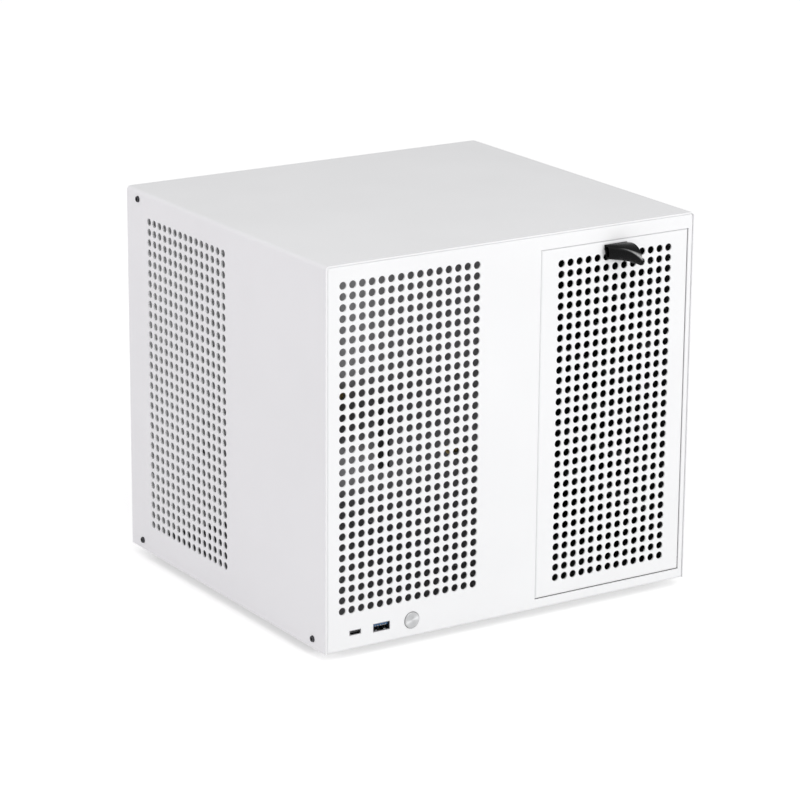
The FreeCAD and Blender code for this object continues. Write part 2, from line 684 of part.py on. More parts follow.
def make_feet():
    names = ("front_left", "front_right", "back_left", "back_right")
    screws = []
    for name, (x, y) in zip(names, foot_places()):
        rubber = tapered(f"foot_rubber_{name}", (x, y, "sheet"), "-z", "foot_diameter / 2",
                         "foot_diameter / 2 - foot_taper", "foot_height + sheet")
        recess = rod(f"foot_recess_{name}", (x, y, "-foot_height"), "+z",
                     "screw_head / 2 + screw_clearance", "foot_recess")
        bore = rod(f"foot_bore_{name}", (x, y, "-foot_height"), "+z", HOLE_RADIUS, "foot_height + 2 * sheet")
        part(cut(f"foot_{name}", rubber, [recess, bore]), f"foot_{name}")
        screws.append(screw(f"foot_screw_{name}", (x, y, "foot_recess - foot_height"), "+z"))
    part(group("foot_screws", screws), "foot_screws")


def make_cover_screws():
    screws = []
    for side, way in (("-case_width / 2", "+x"), ("case_width / 2", "-x")):
        for y, z in COVER_SCREWS:
            screws.append(screw(f"cover_screw_{len(screws) + 1}", (side, y, z), way))
    part(group("cover_screws", screws), "cover_screws")


# Drive cage: two walls with flanges turned outwards and a pressed ledge for each bay

def make_cage_wall(name, way):
    label = f"cage_wall_{name}"
    inside = f"{DOOR_X} + {way} * bay_width / 2"
    outside = f"{DOOR_X} + {way} * door_width / 2"
    inner_side, outer_side = ("+x", "-x") if way < 0 else ("-x", "+x")
    wall = folded(label, (outside, inside) if way < 0 else (inside, outside), ("door_depth", CAGE_BACK),
                  (FLOOR, UNDER_FLANGES), ring_of(inner_side), [outer_side])
    along = ("door_depth + ledge_inset", "door_depth + ledge_inset + ledge_length")
    window, drawn = rectangle_cut(wall, f"{label}_window", "x", inside, along,
                                  ("bay_low", "bay_low + ledge_width"))
    stack(wall, f"{label}_windows", window, drawn)
    root = f"({inside} + {way} * sheet)"
    drawn = sketch(wall, f"{label}_ledge_outline", "x", root)
    rectangle(drawn, along, ("bay_low - sheet", "bay_low"))
    ledge = pad(wall, f"{label}_ledge", drawn, "ledge_width + sheet", backwards=way > 0)
    stack(wall, f"{label}_ledges", ledge, drawn)
    ends = [place_of for place_of in cage_screw_places() if f"+ {way} *" in place_of[0]]
    circle_cut(wall, f"{label}_screw_holes", "z", FLOOR, HOLE_RADIUS, ends)
    circle_cut(wall, f"{label}_backplane_holes", "y", CAGE_BACK, HOLE_RADIUS,
               [place_of for place_of in backplane_screw_places() if f"+ {way} *" in place_of[0]])


def backplane_screw_places():
    side = f"(bay_width / 2 + {CAGE_FLANGE} / 2)"
    return [(f"{DOOR_X} + {way} * {side}", z) for way in (-1, 1)
            for z in (f"{FLOOR} + 3 * backplane_margin", f"{UNDER_FLANGES} - 3 * backplane_margin")]


def make_cage_screws():
    screws = [screw(f"cage_screw_{n}", (x, y, "sheet"), "+z")
              for n, (x, y) in enumerate(cage_screw_places(), start=1)]
    part(group("cage_screws", screws), "cage_screws")


# Backplane: a board across the back of the cage with a drive socket and a vent slot for each bay

def make_backplane():
    board = body("backplane_board")
    half = "(door_width / 2 - panel_fit)"
    outline = sketch(board, "backplane_outline", "y", CAGE_BACK)
    rectangle(outline, (f"{DOOR_X} - {half}", f"{DOOR_X} + {half}"),
              (f"{FLOOR} + backplane_margin", f"{UNDER_FLANGES} - backplane_margin"))
    pad(board, "backplane_plate", outline, "board_thick", backwards=True)
    vent, drawn = rectangle_cut(board, "backplane_vent", "y", CAGE_BACK,
                                (f"{DOOR_X} - vent_width / 2", f"{DOOR_X} + vent_width / 2"),
                                ("bay_low + vent_rise", "bay_low + vent_rise + vent_height"),
                                "3 * board_thick")
    stack(board, "backplane_vents", vent, drawn)
    circle_cut(board, "backplane_holes", "y", CAGE_BACK, HOLE_RADIUS, backplane_screw_places(),
               "3 * board_thick")
    sockets = []
    middle = f"({DOOR_X} - socket_side)"
    for number in range(count("bay_count")):
        low = f"(bay_low + {number} * bay_pitch + socket_rise)"
        across = (f"{middle} - socket_width / 2", f"{middle} + socket_width / 2")
        block = box(f"drive_socket_block_{number + 1}", across, (f"{CAGE_BACK} - socket_depth", CAGE_BACK),
                    (low, f"{low} + socket_height"))
        slit = box(f"drive_socket_slit_{number + 1}", (f"{across[0]} + sheet", f"{across[1]} - sheet"),
                   (f"{CAGE_BACK} - socket_depth - sheet", f"{CAGE_BACK} - socket_depth / 3"),
                   (f"{low} + socket_height / 2", f"{low} + socket_height - sheet"))
        sockets.append(cut(f"drive_socket_{number + 1}", block, [slit]))
    part(group("drive_sockets", sockets), "drive_sockets")
    behind = f"({CAGE_BACK} + board_thick)"
    feeds = []
    for number in (1, count("bay_count") - 2):
        low = f"(bay_low + {number} * bay_pitch)"
        feeds.append(box(f"power_socket_{number}", (f"{DOOR_X} - power_socket_width / 2",
                                                    f"{DOOR_X} + power_socket_width / 2"),
                         (behind, f"{behind} + power_socket_depth"), (low, f"{low} + power_socket_height")))
    part(group("backplane_power_sockets", feeds), "backplane_power_sockets")
    screws = [screw(f"backplane_screw_{n}", (x, behind, z), "-y")
              for n, (x, z) in enumerate(backplane_screw_places(), start=1)]
    part(group("backplane_screws", screws), "backplane_screws")


# Motherboard tray: an upright sheet against the cage with a foot on the floor pan

def make_tray():
    tray = folded("motherboard_tray", (f"{TRAY_FACE} - tray_flange", f"{TRAY_FACE} + sheet"),
                  ("panel_flange + panel_fit", "case_depth - panel_bend"), (FLOOR, UNDER_FLANGES),
                  [("+x", "-z")], ["-x", "+z", "-y", "+y"])
    slot_end = "(case_depth - cable_slot_back)"
    rectangle_cut(tray, "cable_slot", "x", TRAY_FACE, (f"{slot_end} - cable_slot_depth", slot_end),
                  ("cable_slot_low", "cable_slot_low + cable_slot_height"))
    posts = []
    for y in ("case_depth - board_hole_back", "case_depth - board_hole_back - board_hole_depth"):
        for z in ("case_height - board_hole_top", "case_height - board_hole_top - board_hole_height"):
            number = len(posts) + 1
            post = rod(f"standoff_post_{number}", (TRAY_FACE, y, z), "-x", "standoff_diameter / 2",
                       "standoff_height")
            bore = rod(f"standoff_bore_{number}", (f"{TRAY_FACE} - standoff_height / 4", y, z), "-x",
                       "thread_diameter / 2", "standoff_height")
            posts.append(cut(f"standoff_{number}", post, [bore]))
    part(group("motherboard_standoffs", posts), "motherboard_standoffs")


# Door: a perforated pan that rests on the front flanges of the cage

def make_door():
    half = "door_width / 2"
    door = folded("door_panel", (f"{DOOR_X} - {half}", f"{DOOR_X} + {half}"), ("0", "door_depth"),
                  ("door_low", DOOR_TOP), ring_of("-y"), ["+y"])
    slot_half = "(strap_width / 2 + strap_slack)"
    rise = "(strap_thick + strap_slack)"
    rectangle_cut(door, "strap_slot", "y", "0", (f"{DOOR_X} - {slot_half}", f"{DOOR_X} + {slot_half}"),
                  (f"{STRAP_Z} - {rise}", f"{STRAP_Z} + {rise}"))
    first = (f"{DOOR_X} - hole_pitch * (door_columns - 1) / 2", f"{DOOR_TOP} - door_field_top")
    perforate(door, "door_field", "y", "0", first, "door_columns")
    side = "(door_width / 2 - sheet - panel_fit - magnet_diameter / 2)"
    for number, (across, up) in enumerate(CORNERS, start=1):
        z = "door_low + magnet_rise" if up < 0 else f"{DOOR_TOP} - magnet_rise"
        magnet = rod(f"door_magnet_{number}", (f"{DOOR_X} + {across} * {side}", "door_depth", z), "-y",
                     "magnet_diameter / 2", "door_depth - sheet - magnet_gap")
        part(magnet, f"door_magnet_{number}")


def drop_outline(apex, middle, radius):
    """A closed outline from a point round a circle, in the plane across x."""
    towards = middle - apex
    reach = towards.Length
    lean = math.asin(radius / reach)
    tangent = math.sqrt(reach ** 2 - radius ** 2)
    ways = [FreeCAD.Rotation(VECTOR(1, 0, 0), math.degrees(turn)).multVec(towards).normalize()
            for turn in (lean, -lean)]
    touch = [apex + way * tangent for way in ways]
    front = middle + VECTOR(towards).normalize() * radius
    edges = [Part.makeLine(apex, touch[0]), Part.Arc(touch[0], front, touch[1]).toShape(),
             Part.makeLine(touch[1], apex)]
    return Part.Face(Part.Wire(edges))


def make_strap():
    """Pull strap: a loop in front of the door, two layers through the slot and a hem round the pin."""
    width, thick = value("strap_width"), value("strap_thick")
    hem = value("strap_hem_radius")
    radius = value("strap_loop_radius")
    hem_y = value("sheet") + hem
    apex = VECTOR(0, -thick, 0)
    middle = VECTOR(0, radius - value("strap_reach"), -value("strap_droop"))
    slope = math.hypot(middle.y, middle.z)
    back = VECTOR(0, apex.y + thick * slope / radius, 0)
    across = VECTOR(width, 0, 0)
    outer = drop_outline(back, middle, radius).extrude(across)
    inner = drop_outline(apex, middle, radius - thick).extrude(across)
    layers = Part.makeBox(width, hem_y + 2 * thick, 2 * thick, VECTOR(0, -2 * thick, -thick))
    rolled = Part.makeCylinder(hem, width, VECTOR(0, hem_y, 0), VECTOR(1, 0, 0))
    bore = Part.makeCylinder(value("strap_pin_diameter / 2 + shaft_clearance"), width, VECTOR(0, hem_y, 0),
                             VECTOR(1, 0, 0))
    strap = doc.addObject("Part::Feature", "door_strap")
    strap.Shape = outer.fuse([layers, rolled]).cut([inner, bore]).removeSplitter()
    place(part(strap, "door_strap"), f"{DOOR_X} - strap_width / 2", "0", STRAP_Z)
    pin = rod("strap_pin", (f"{DOOR_X} - strap_pin_length / 2", "sheet + strap_hem_radius", STRAP_Z), "+x",
              "strap_pin_diameter / 2", "strap_pin_length")
    part(pin, "strap_pin")


# Front ports: two sockets on a small board that stands on the floor pan

PORT_BOARD_TOP = "(port_height - usb_a_height / 2)"


def make_ports():
    mouth = "usb_inset"
    for name, middle in (("usb_a", USB_A_X), ("usb_c", USB_C_X)):
        low, high = f"port_height - {name}_height / 2", f"port_height + {name}_height / 2"
        left, right = f"{middle} - {name}_width / 2", f"{middle} + {name}_width / 2"
        back = f"({mouth} + {name}_length)"
        folded(f"{name}_shell", (left, right), (mouth, back), (low, high),
               [("-x", "-z"), ("-x", "+z"), ("+x", "-z"), ("+x", "+z")], ["-y", "+y"],
               radius=f"{name}_height * 0.48" if name == "usb_c" else "2 * usb_wall", wall="usb_wall")
        make_insulator(name, (left, right), back, (low, high))
    left = f"({USB_C_X} - usb_c_width / 2 - io_board_margin)"
    right = f"({USB_A_X} + usb_a_width / 2 + io_board_margin)"
    front = "(sheet + panel_fit)"
    blank = box("io_board_blank", (left, right), (front, f"{front} + io_board_depth"),
                (f"{PORT_BOARD_TOP} - board_thick", PORT_BOARD_TOP))
    part(blank, "front_io_board")
    spacers = []
    for x in (f"{left} + spacer_diameter / 2", f"{right} - spacer_diameter / 2"):
        at = (x, f"{front} + io_board_depth - spacer_diameter", FLOOR)
        spacers.append(rod(f"io_spacer_{len(spacers) + 1}", at, "+z", "spacer_diameter / 2",
                           f"{PORT_BOARD_TOP} - board_thick - {FLOOR}"))
    part(group("io_board_spacers", spacers), "io_board_spacers")


def make_insulator(name, across, back, up):
    """Back wall and tongue of a socket; a low socket also gets a foot on the board."""
    lining = "(usb_wall + shaft_clearance)"
    margin = "(usb_wall + tongue_side_gap)"
    wall = body(f"{name}_insulator")
    outline = sketch(wall, f"{name}_wall_outline", "y", back)
    rectangle(outline, (f"{across[0]} + {name}_height / 2", f"{across[1]} - {name}_height / 2"),
              (f"{up[0]} + {lining}", f"{up[1]} - {lining}"))
    pad(wall, f"{name}_wall", outline, "socket_back")
    rise = f"(port_height + {name}_height / 4)" if name == "usb_a" else "port_height"
    tongue = sketch(wall, f"{name}_tongue_outline", "y", back)
    rectangle(tongue, (f"{across[0]} + {margin}", f"{across[1]} - {margin}"),
              (f"{rise} - {name}_tongue / 2", f"{rise} + {name}_tongue / 2"))
    pad(wall, f"{name}_tongue_block", tongue, f"{name}_length - tongue_inset")
    if name == "usb_c":
        foot = sketch(wall, f"{name}_foot_outline", "y", back)
        rectangle(foot, (f"{across[0]} + usb_c_height / 2", f"{across[1]} - usb_c_height / 2"),
                  (PORT_BOARD_TOP, f"{up[1]} - {lining}"))
        pad(wall, f"{name}_foot", foot, "socket_back", backwards=True)


# Power button: a cap on a stem, guided by a housing behind the panel

def make_button():
    at = (BUTTON_X, "0", "port_height")
    cap = body("power_button", at)
    face = sketch(cap, "button_face", "y", "-button_proud")
    circle(face, "button_diameter / 2")
    block = pad(cap, "button_block", face, "button_length", backwards=True)
    edge = cap.newObject("PartDesign::Chamfer", "button_edge")
    edge.Base = (block, edges_between(block.Shape, ring_of("-y")))
    bind(edge, Size="button_chamfer")
    doc.recompute()
    stem = sketch(cap, "button_stem_outline", "y", "button_length - button_proud")
    circle(stem, "button_stem / 2")
    pad(cap, "button_stem_block", stem, "button_stem_length", backwards=True)

    housing = body("power_switch_housing", at)
    outline = sketch(housing, "housing_outline", "y", "sheet")
    circle(outline, "switch_housing_diameter / 2")
    depth = "(button_length + button_travel + switch_housing_wall + button_gap - button_proud - sheet)"
    pad(housing, "housing_block", outline, depth, backwards=True)
    well = sketch(housing, "housing_well_outline", "y", "sheet")
    circle(well, "button_diameter / 2 + button_gap")
    pocket(housing, "housing_well", well, f"2 * ({depth} - switch_housing_wall)")
    guide = sketch(housing, "housing_guide_outline", "y", f"sheet + {depth}")
    circle(guide, "button_stem / 2 + button_gap")
    pocket(housing, "housing_guide", guide, "3 * switch_housing_wall")

    stem_end = "(button_length + button_stem_length - button_proud)"
    behind = f"(sheet + {depth})"
    half = "switch_size / 2"
    seat = f"({stem_end} + button_travel + panel_fit)"
    frame = box("switch_frame", (f"{BUTTON_X} - {half} - sheet", f"{BUTTON_X} + {half} + sheet"),
                (behind, f"{seat} + switch_depth"),
                (f"port_height - {half} - sheet", f"port_height + {half} + sheet"))
    room = rod("switch_room", (BUTTON_X, behind, "port_height"), "+y", "button_stem / 2 + button_gap",
               f"{seat} - {behind}")
    part(cut("power_switch", frame, [room]), "power_switch")


# Fans: a frame with motor base and bearing, and a rotor with its shaft, drawn about the fan's own axis

BLADE_MIDDLE = "(-fan_base_depth - hub_gap - hub_depth / 2)"
BEARING_FRONT = "(-fan_base_depth - bearing_length)"
HUB_FRONT = "(-fan_base_depth - hub_gap - hub_depth)"
BOSS_BACK = f"({HUB_FRONT} + hub_wall + hub_boss_length)"


def make_fan_frame(name, at):
    frame = body(f"fan_frame_{name}", at)
    outline = sketch(frame, f"fan_outline_{name}", "y")
    rectangle(outline, ("-fan_size / 2", "fan_size / 2"), ("-fan_size / 2", "fan_size / 2"))
    block = pad(frame, f"fan_block_{name}", outline, "fan_depth")
    upright = [(a, b) for a in ("-x", "+x") for b in ("-z", "+z")]
    rounded(frame, f"fan_corners_{name}", block, upright, "fan_corner")
    circle_cut(frame, f"fan_passage_{name}", "y", "0", "fan_bore / 2", [None], "3 * fan_depth")
    waist = sketch(frame, f"fan_waist_outline_{name}", "y", "-fan_depth / 2")
    rectangle(waist, ("-fan_size", "fan_size"), ("-fan_size", "fan_size"))
    circle(waist, "fan_ring / 2")
    pocket(frame, f"fan_waist_{name}", waist, "fan_depth - 2 * fan_plate")
    spread = "fan_hole_spacing / 2"
    circle_cut(frame, f"fan_holes_{name}", "y", "0", "fan_hole_diameter / 2",
               [(f"{across} * {spread}", f"{up} * {spread}") for across, up in CORNERS], "3 * fan_depth")
    base = sketch(frame, f"fan_base_outline_{name}", "y")
    circle(base, "fan_base_diameter / 2")
    pad(frame, f"fan_base_{name}", base, "fan_base_depth")
    strut_outline = sketch(frame, f"fan_strut_outline_{name}", "y")
    rectangle(strut_outline, ("bearing_diameter / 2", "(fan_bore + fan_size) / 4"),
              ("-fan_strut_width / 2", "fan_strut_width / 2"))
    strut = pad(frame, f"fan_strut_{name}", strut_outline, "fan_base_depth")
    around(frame, f"fan_struts_{name}", strut, strut_outline, "4")
    tube = sketch(frame, f"bearing_outline_{name}", "y", "-fan_base_depth")
    circle(tube, "bearing_diameter / 2")
    pad(frame, f"bearing_{name}", tube, "bearing_length")
    circle_cut(frame, f"bearing_bore_{name}", "y", BEARING_FRONT, "shaft_diameter / 2 + shaft_clearance",
               [None], "2 * (bearing_length + fan_base_depth / 2)")


def blade_section(rotor, name, offset, chord, pitch):
    """A thin section across a blade, turned to its pitch."""
    drawn = sketch(rotor, name, "x", offset)
    along, up = f"sin({pitch} * 1 deg)", f"cos({pitch} * 1 deg)"
    corners = [(f"{BLADE_MIDDLE} + {a} * {chord} / 2 * {along} + {b} * blade_thick / 2 * {up}",
                f"{a} * {chord} / 2 * {up} - {b} * blade_thick / 2 * {along}")
               for a, b in ((-1, -1), (1, -1), (1, 1), (-1, 1))]
    polygon(drawn, corners)
    return drawn


def make_fan_rotor(name, at):
    rotor = body(f"fan_rotor_{name}", at)
    outline = sketch(rotor, f"hub_outline_{name}", "y", "-fan_base_depth - hub_gap")
    circle(outline, "hub_diameter / 2")
    pad(rotor, f"hub_{name}", outline, "hub_depth")
    tip_half = "(blade_tip_chord / 2 * cos(blade_tip_pitch * 1 deg) + blade_thick / 2)"
    tip = f"(sqrt((fan_bore / 2 - blade_tip_gap) ^ 2 - {tip_half} ^ 2))"
    root = "(hub_diameter / 2 - hub_wall)"
    sections = [blade_section(rotor, f"blade_root_{name}", root, "blade_root_chord", "blade_root_pitch"),
                blade_section(rotor, f"blade_tip_{name}", tip, "blade_tip_chord", "blade_tip_pitch")]
    blade = rotor.newObject("PartDesign::AdditiveLoft", f"blade_{name}")
    blade.Profile = sections[0]
    blade.Sections = [sections[1]]
    blade.Ruled = True
    doc.recompute()
    around(rotor, f"blades_{name}", blade, outline, "blade_count")
    circle_cut(rotor, f"hub_hollow_{name}", "y", "-fan_base_depth - hub_gap", "hub_diameter / 2 - hub_wall",
               [None], "2 * (hub_depth - hub_wall)")
    boss = sketch(rotor, f"hub_boss_outline_{name}", "y", BOSS_BACK)
    circle(boss, "bearing_diameter / 2")
    pad(rotor, f"hub_boss_{name}", boss, "hub_boss_length + hub_wall / 2")
    circle_cut(rotor, f"hub_bore_{name}", "y", BOSS_BACK, "shaft_diameter / 2 + shaft_clearance", [None],
               "2 * (hub_boss_length + hub_wall / 2)")


def make_fans():
    screws = []
    for name, height in FAN_HEIGHTS.items():
        at = (DOOR_X, REAR_INSIDE, height)
        make_fan_frame(name, at)
        make_fan_rotor(name, at)
        shaft_front = f"({BOSS_BACK} - hub_boss_length)"
        shaft = rod(f"fan_shaft_{name}", (DOOR_X, f"{REAR_INSIDE} + {shaft_front}", height), "+y",
                    "shaft_diameter / 2", f"-fan_base_depth * 3 / 4 - {shaft_front}")
        part(shaft, f"fan_shaft_{name}")
        make_guard(name, height)
    for n, (x, z) in enumerate(fan_screw_places(), start=1):
        screws.append(screw(f"fan_screw_{n}", (x, "case_depth + guard_wire", z), "-y", "fan_screw"))
    part(group("fan_screws", screws), "fan_screws")


EYE_RADIUS = f"({FAN_HOLE_RADIUS} + guard_wire / 2)"


def make_guard(name, height):
    """A wire guard: rings on two crossed wires that end in eyes under the screws."""
    behind = "(case_depth + guard_wire / 2)"
    wires = []
    for number in range(count("guard_rings")):
        ring = doc.addObject("Part::Torus", f"guard_ring_{name}_{number + 1}")
        bind(ring, Radius1=f"guard_outer_radius - {number} * guard_ring_step", Radius2="guard_wire / 2")
        ring.Placement = FreeCAD.Placement(VECTOR(), TURNS["+y"])
        place(ring, DOOR_X, behind, height)
        wires.append(ring)
    corner = "(fan_hole_spacing / sqrt(2))"
    for turn in (45, 135):
        wire = doc.addObject("Part::Cylinder", f"guard_wire_{name}_{turn}")
        length = f"(2 * ({corner} - {EYE_RADIUS}))"
        bind(wire, Radius="guard_wire / 2 - guard_weld / 2", Height=length)
        way = VECTOR(math.cos(math.radians(turn)), 0, math.sin(math.radians(turn)))
        wire.Placement = FreeCAD.Placement(VECTOR(), FreeCAD.Rotation(VECTOR(0, 0, 1), way))
        half = f"{length} / 2"
        place(wire, f"{DOOR_X} - {half} * ({way.x})", behind, f"{height} - {half} * ({way.z})")
        wires.append(wire)
    for across, up in CORNERS:
        eye = doc.addObject("Part::Torus", f"guard_eye_{name}_{len(wires)}")
        bind(eye, Radius1=EYE_RADIUS, Radius2="guard_wire / 2")
        eye.Placement = FreeCAD.Placement(VECTOR(), TURNS["+y"])
        place(eye, f"{DOOR_X} + {across} * fan_hole_spacing / 2", behind,
              f"{height} + {up} * fan_hole_spacing / 2")
        wires.append(eye)
    part(fuse(f"fan_guard_{name}", wires), f"fan_guard_{name}")


def check():
    """Every object recomputed, and every sub-part a valid solid."""
    doc.recompute()
    for thing in doc.Objects:
        if "Invalid" in thing.State or "Error" in thing.State:
            raise RuntimeError(f"{thing.Label} did not recompute")
    for thing in parts:
        shape = thing.Shape
        if shape.isNull() or not shape.isValid() or not shape.Solids:
            raise RuntimeError(f"{thing.Label} has no valid solid")


def write():
    os.makedirs("parts", exist_ok=True)
    for thing in parts:
        thing.Shape.exportStep(os.path.join("parts", f"{thing.Label}.step"))


make_cover()
make_front_panel()
make_rear_panel()
make_slot_covers()
make_floor_pan()
make_feet()
make_cover_screws()
make_cage_wall("left", -1)
make_cage_wall("right", 1)
make_cage_screws()
make_backplane()
make_tray()
make_door()
make_strap()
make_ports()
make_button()
make_fans()
check()
write()
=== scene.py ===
"""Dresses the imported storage-computer case: finishes, pull strap, small fittings, light and camera."""
import json
import math

import bmesh
import bpy
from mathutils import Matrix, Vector


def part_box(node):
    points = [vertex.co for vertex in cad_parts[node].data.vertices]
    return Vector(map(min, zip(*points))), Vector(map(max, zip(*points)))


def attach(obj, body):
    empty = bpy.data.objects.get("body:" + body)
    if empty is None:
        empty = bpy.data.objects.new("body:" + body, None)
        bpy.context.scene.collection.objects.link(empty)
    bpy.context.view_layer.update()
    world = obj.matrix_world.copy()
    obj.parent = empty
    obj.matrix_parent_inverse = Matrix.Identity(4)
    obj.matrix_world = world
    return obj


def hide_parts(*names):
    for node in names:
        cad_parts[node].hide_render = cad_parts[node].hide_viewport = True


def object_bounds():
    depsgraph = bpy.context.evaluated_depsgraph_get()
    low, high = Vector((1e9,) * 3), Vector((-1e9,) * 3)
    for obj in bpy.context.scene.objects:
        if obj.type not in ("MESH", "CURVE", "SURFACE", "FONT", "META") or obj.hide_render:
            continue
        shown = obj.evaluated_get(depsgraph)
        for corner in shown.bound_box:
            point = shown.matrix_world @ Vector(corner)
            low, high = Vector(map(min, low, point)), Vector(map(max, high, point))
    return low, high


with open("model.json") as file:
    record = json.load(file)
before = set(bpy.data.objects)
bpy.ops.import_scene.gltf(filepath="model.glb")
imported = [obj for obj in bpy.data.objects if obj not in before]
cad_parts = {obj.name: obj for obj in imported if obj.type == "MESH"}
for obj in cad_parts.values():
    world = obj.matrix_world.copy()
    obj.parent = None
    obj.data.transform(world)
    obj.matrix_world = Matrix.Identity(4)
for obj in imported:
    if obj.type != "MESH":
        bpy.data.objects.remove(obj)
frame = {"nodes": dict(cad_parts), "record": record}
NODES = frame["nodes"]
cad_low, cad_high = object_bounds()
# The frame is in metres
MM = 0.001

# Shader building blocks

WHITE = (1.0, 1.0, 1.0)
EVEN = (1.0, 1.0, 1.0)
ALONG_Y = (1.0, 0.05, 1.0)
ALONG_Z = (1.0, 1.0, 0.05)
DOWN_THE_MOULD = (1.0, 1.0, 0.35)
NO_SHIFT = (0.0, 0.0, 0.0)
# Most of a noise pattern lies in this span
NOISE_SPAN = (0.3, 0.7)
# Repeats of a wave pattern in a metre, at a scale of 1
WAVES_PER_METRE = 20.0 / math.tau


def new_material(name, colour, roughness, metallic=0.0, **inputs):
    """A Principled material. Values that are the same all over sit on the shader's own sockets."""
    made = bpy.data.materials.new(name)
    made.use_nodes = True
    shader = made.node_tree.nodes["Principled BSDF"]
    shader.inputs["Base Color"].default_value = (*colour, 1.0)
    shader.inputs["Roughness"].default_value = roughness
    shader.inputs["Metallic"].default_value = metallic
    for socket, number in inputs.items():
        shader.inputs[socket.replace("_", " ")].default_value = number
    return made


def coordinates(made, stretch=EVEN, shift=NO_SHIFT):
    """Object coordinates in metres, scaled per axis after a shift."""
    nodes, links = made.node_tree.nodes, made.node_tree.links
    source = nodes.new("ShaderNodeTexCoord")
    mapping = nodes.new("ShaderNodeMapping")
    mapping.vector_type = "TEXTURE"
    mapping.inputs["Location"].default_value = shift
    mapping.inputs["Scale"].default_value = [1.0 / s for s in stretch]
    links.new(source.outputs["Object"], mapping.inputs["Vector"])
    return mapping.outputs["Vector"]


def noise(made, grain, detail=2.0, roughness=0.5, stretch=EVEN):
    """Noise whose features are about grain metres across."""
    node = made.node_tree.nodes.new("ShaderNodeTexNoise")
    node.inputs["Scale"].default_value = 1.0 / grain
    node.inputs["Detail"].default_value = detail
    node.inputs["Roughness"].default_value = roughness
    made.node_tree.links.new(coordinates(made, stretch), node.inputs["Vector"])
    return node.outputs["Fac"]


def cells(made, grain, feature="F1", output="Distance"):
    """Cellular pattern with cells about grain metres across."""
    node = made.node_tree.nodes.new("ShaderNodeTexVoronoi")
    node.feature = feature
    node.inputs["Scale"].default_value = 1.0 / grain
    made.node_tree.links.new(coordinates(made), node.inputs["Vector"])
    return node.outputs[output]


def rings(made, centre, pitch, distortion=0.6, detail=2.0):
    """Concentric turning marks about a line in depth through centre."""
    node = made.node_tree.nodes.new("ShaderNodeTexWave")
    node.wave_type = "RINGS"
    node.rings_direction = "Y"
    node.inputs["Scale"].default_value = 1.0 / (WAVES_PER_METRE * pitch)
    node.inputs["Distortion"].default_value = distortion
    node.inputs["Detail"].default_value = detail
    made.node_tree.links.new(coordinates(made, shift=centre), node.inputs["Vector"])
    return node.outputs["Fac"]


def bands(made, pitch, axis):
    """Straight parallel bands, square to an axis."""
    node = made.node_tree.nodes.new("ShaderNodeTexWave")
    node.bands_direction = axis
    node.inputs["Scale"].default_value = 1.0 / (WAVES_PER_METRE * pitch)
    made.node_tree.links.new(coordinates(made), node.inputs["Vector"])
    return node.outputs["Fac"]


def mixed(made, fac, first, second):
    """Takes one pattern where fac is 0 and the other where it is 1."""
    node = made.node_tree.nodes.new("ShaderNodeMix")
    made.node_tree.links.new(fac, node.inputs["Factor"])
    made.node_tree.links.new(first, node.inputs["A"])
    made.node_tree.links.new(second, node.inputs["B"])
    return node.outputs["Result"]


def combined(tree, operation, first, second):
    """Two patterns put together by a math operation, such as their product or the greater of the two."""
    node = tree.nodes.new("ShaderNodeMath")
    node.operation = operation
    tree.links.new(first, node.inputs[0])
    tree.links.new(second, node.inputs[1])
    return node.outputs[0]


def attribute(made, name):
    """A number that the mesh carries at its points."""
    node = made.node_tree.nodes.new("ShaderNodeAttribute")
    node.attribute_name = name
    return node.outputs["Fac"]


def stepped(made, fac, low, high, start=0.0, end=1.0):
    """Maps a pattern, from start to end, on to low to high."""
    node = made.node_tree.nodes.new("ShaderNodeMapRange")
    node.inputs["From Min"].default_value = start
    node.inputs["From Max"].default_value = end
    node.inputs["To Min"].default_value = low
    node.inputs["To Max"].default_value = high
    made.node_tree.links.new(fac, node.inputs["Value"])
    return node.outputs["Result"]


def tinted(made, fac, first, second, start=0.0, end=1.0):
    """Colour ramp between two colours, driven by a pattern."""
    node = made.node_tree.nodes.new("ShaderNodeValToRGB")
    node.color_ramp.elements[0].position = start
    node.color_ramp.elements[1].position = end
    node.color_ramp.elements[0].color = (*first, 1.0)
    node.color_ramp.elements[1].color = (*second, 1.0)
    made.node_tree.links.new(fac, node.inputs["Fac"])
    return node.outputs["Color"]


def feed(made, socket, output):
    """Leads a pattern to one of the shader's sockets."""
    made.node_tree.links.new(output, made.node_tree.nodes["Principled BSDF"].inputs[socket])


def shade(colour, factor):
    """A darker or paler tone of a colour."""
    return tuple(min(1.0, channel * factor) for channel in colour)


def toned(made, pattern, colour, darkest, palest):
    """Lets noise take the base colour between two tones of one colour."""
    tones = (shade(colour, darkest), shade(colour, palest))
    feed(made, "Base Color", tinted(made, pattern, *tones, *NOISE_SPAN))


def glossed(made, pattern, smoothest, roughest):
    """Lets noise take the roughness between two values."""
    feed(made, "Roughness", stepped(made, pattern, smoothest, roughest, *NOISE_SPAN))


def bumped(made, *layers):
    """Stacks bump layers, each a pattern with its height in metres and its strength."""
    below = None
    for pattern, height, strength in layers:
        node = made.node_tree.nodes.new("ShaderNodeBump")
        node.inputs["Distance"].default_value = height
        node.inputs["Strength"].default_value = strength
        made.node_tree.links.new(pattern, node.inputs["Height"])
        if below is not None:
            made.node_tree.links.new(below, node.inputs["Normal"])
        below = node.outputs["Normal"]
    feed(made, "Normal", below)


# Finishes, one for each material slot of the record

# Where on a wave a copper trace's flank starts and ends, and where the cells' tone switches the direction
TRACE_FLANK = (0.66, 0.72)
PATCH_BORDER = (0.49, 0.5)
# Grain of the leather
PEBBLE = 0.7 * MM


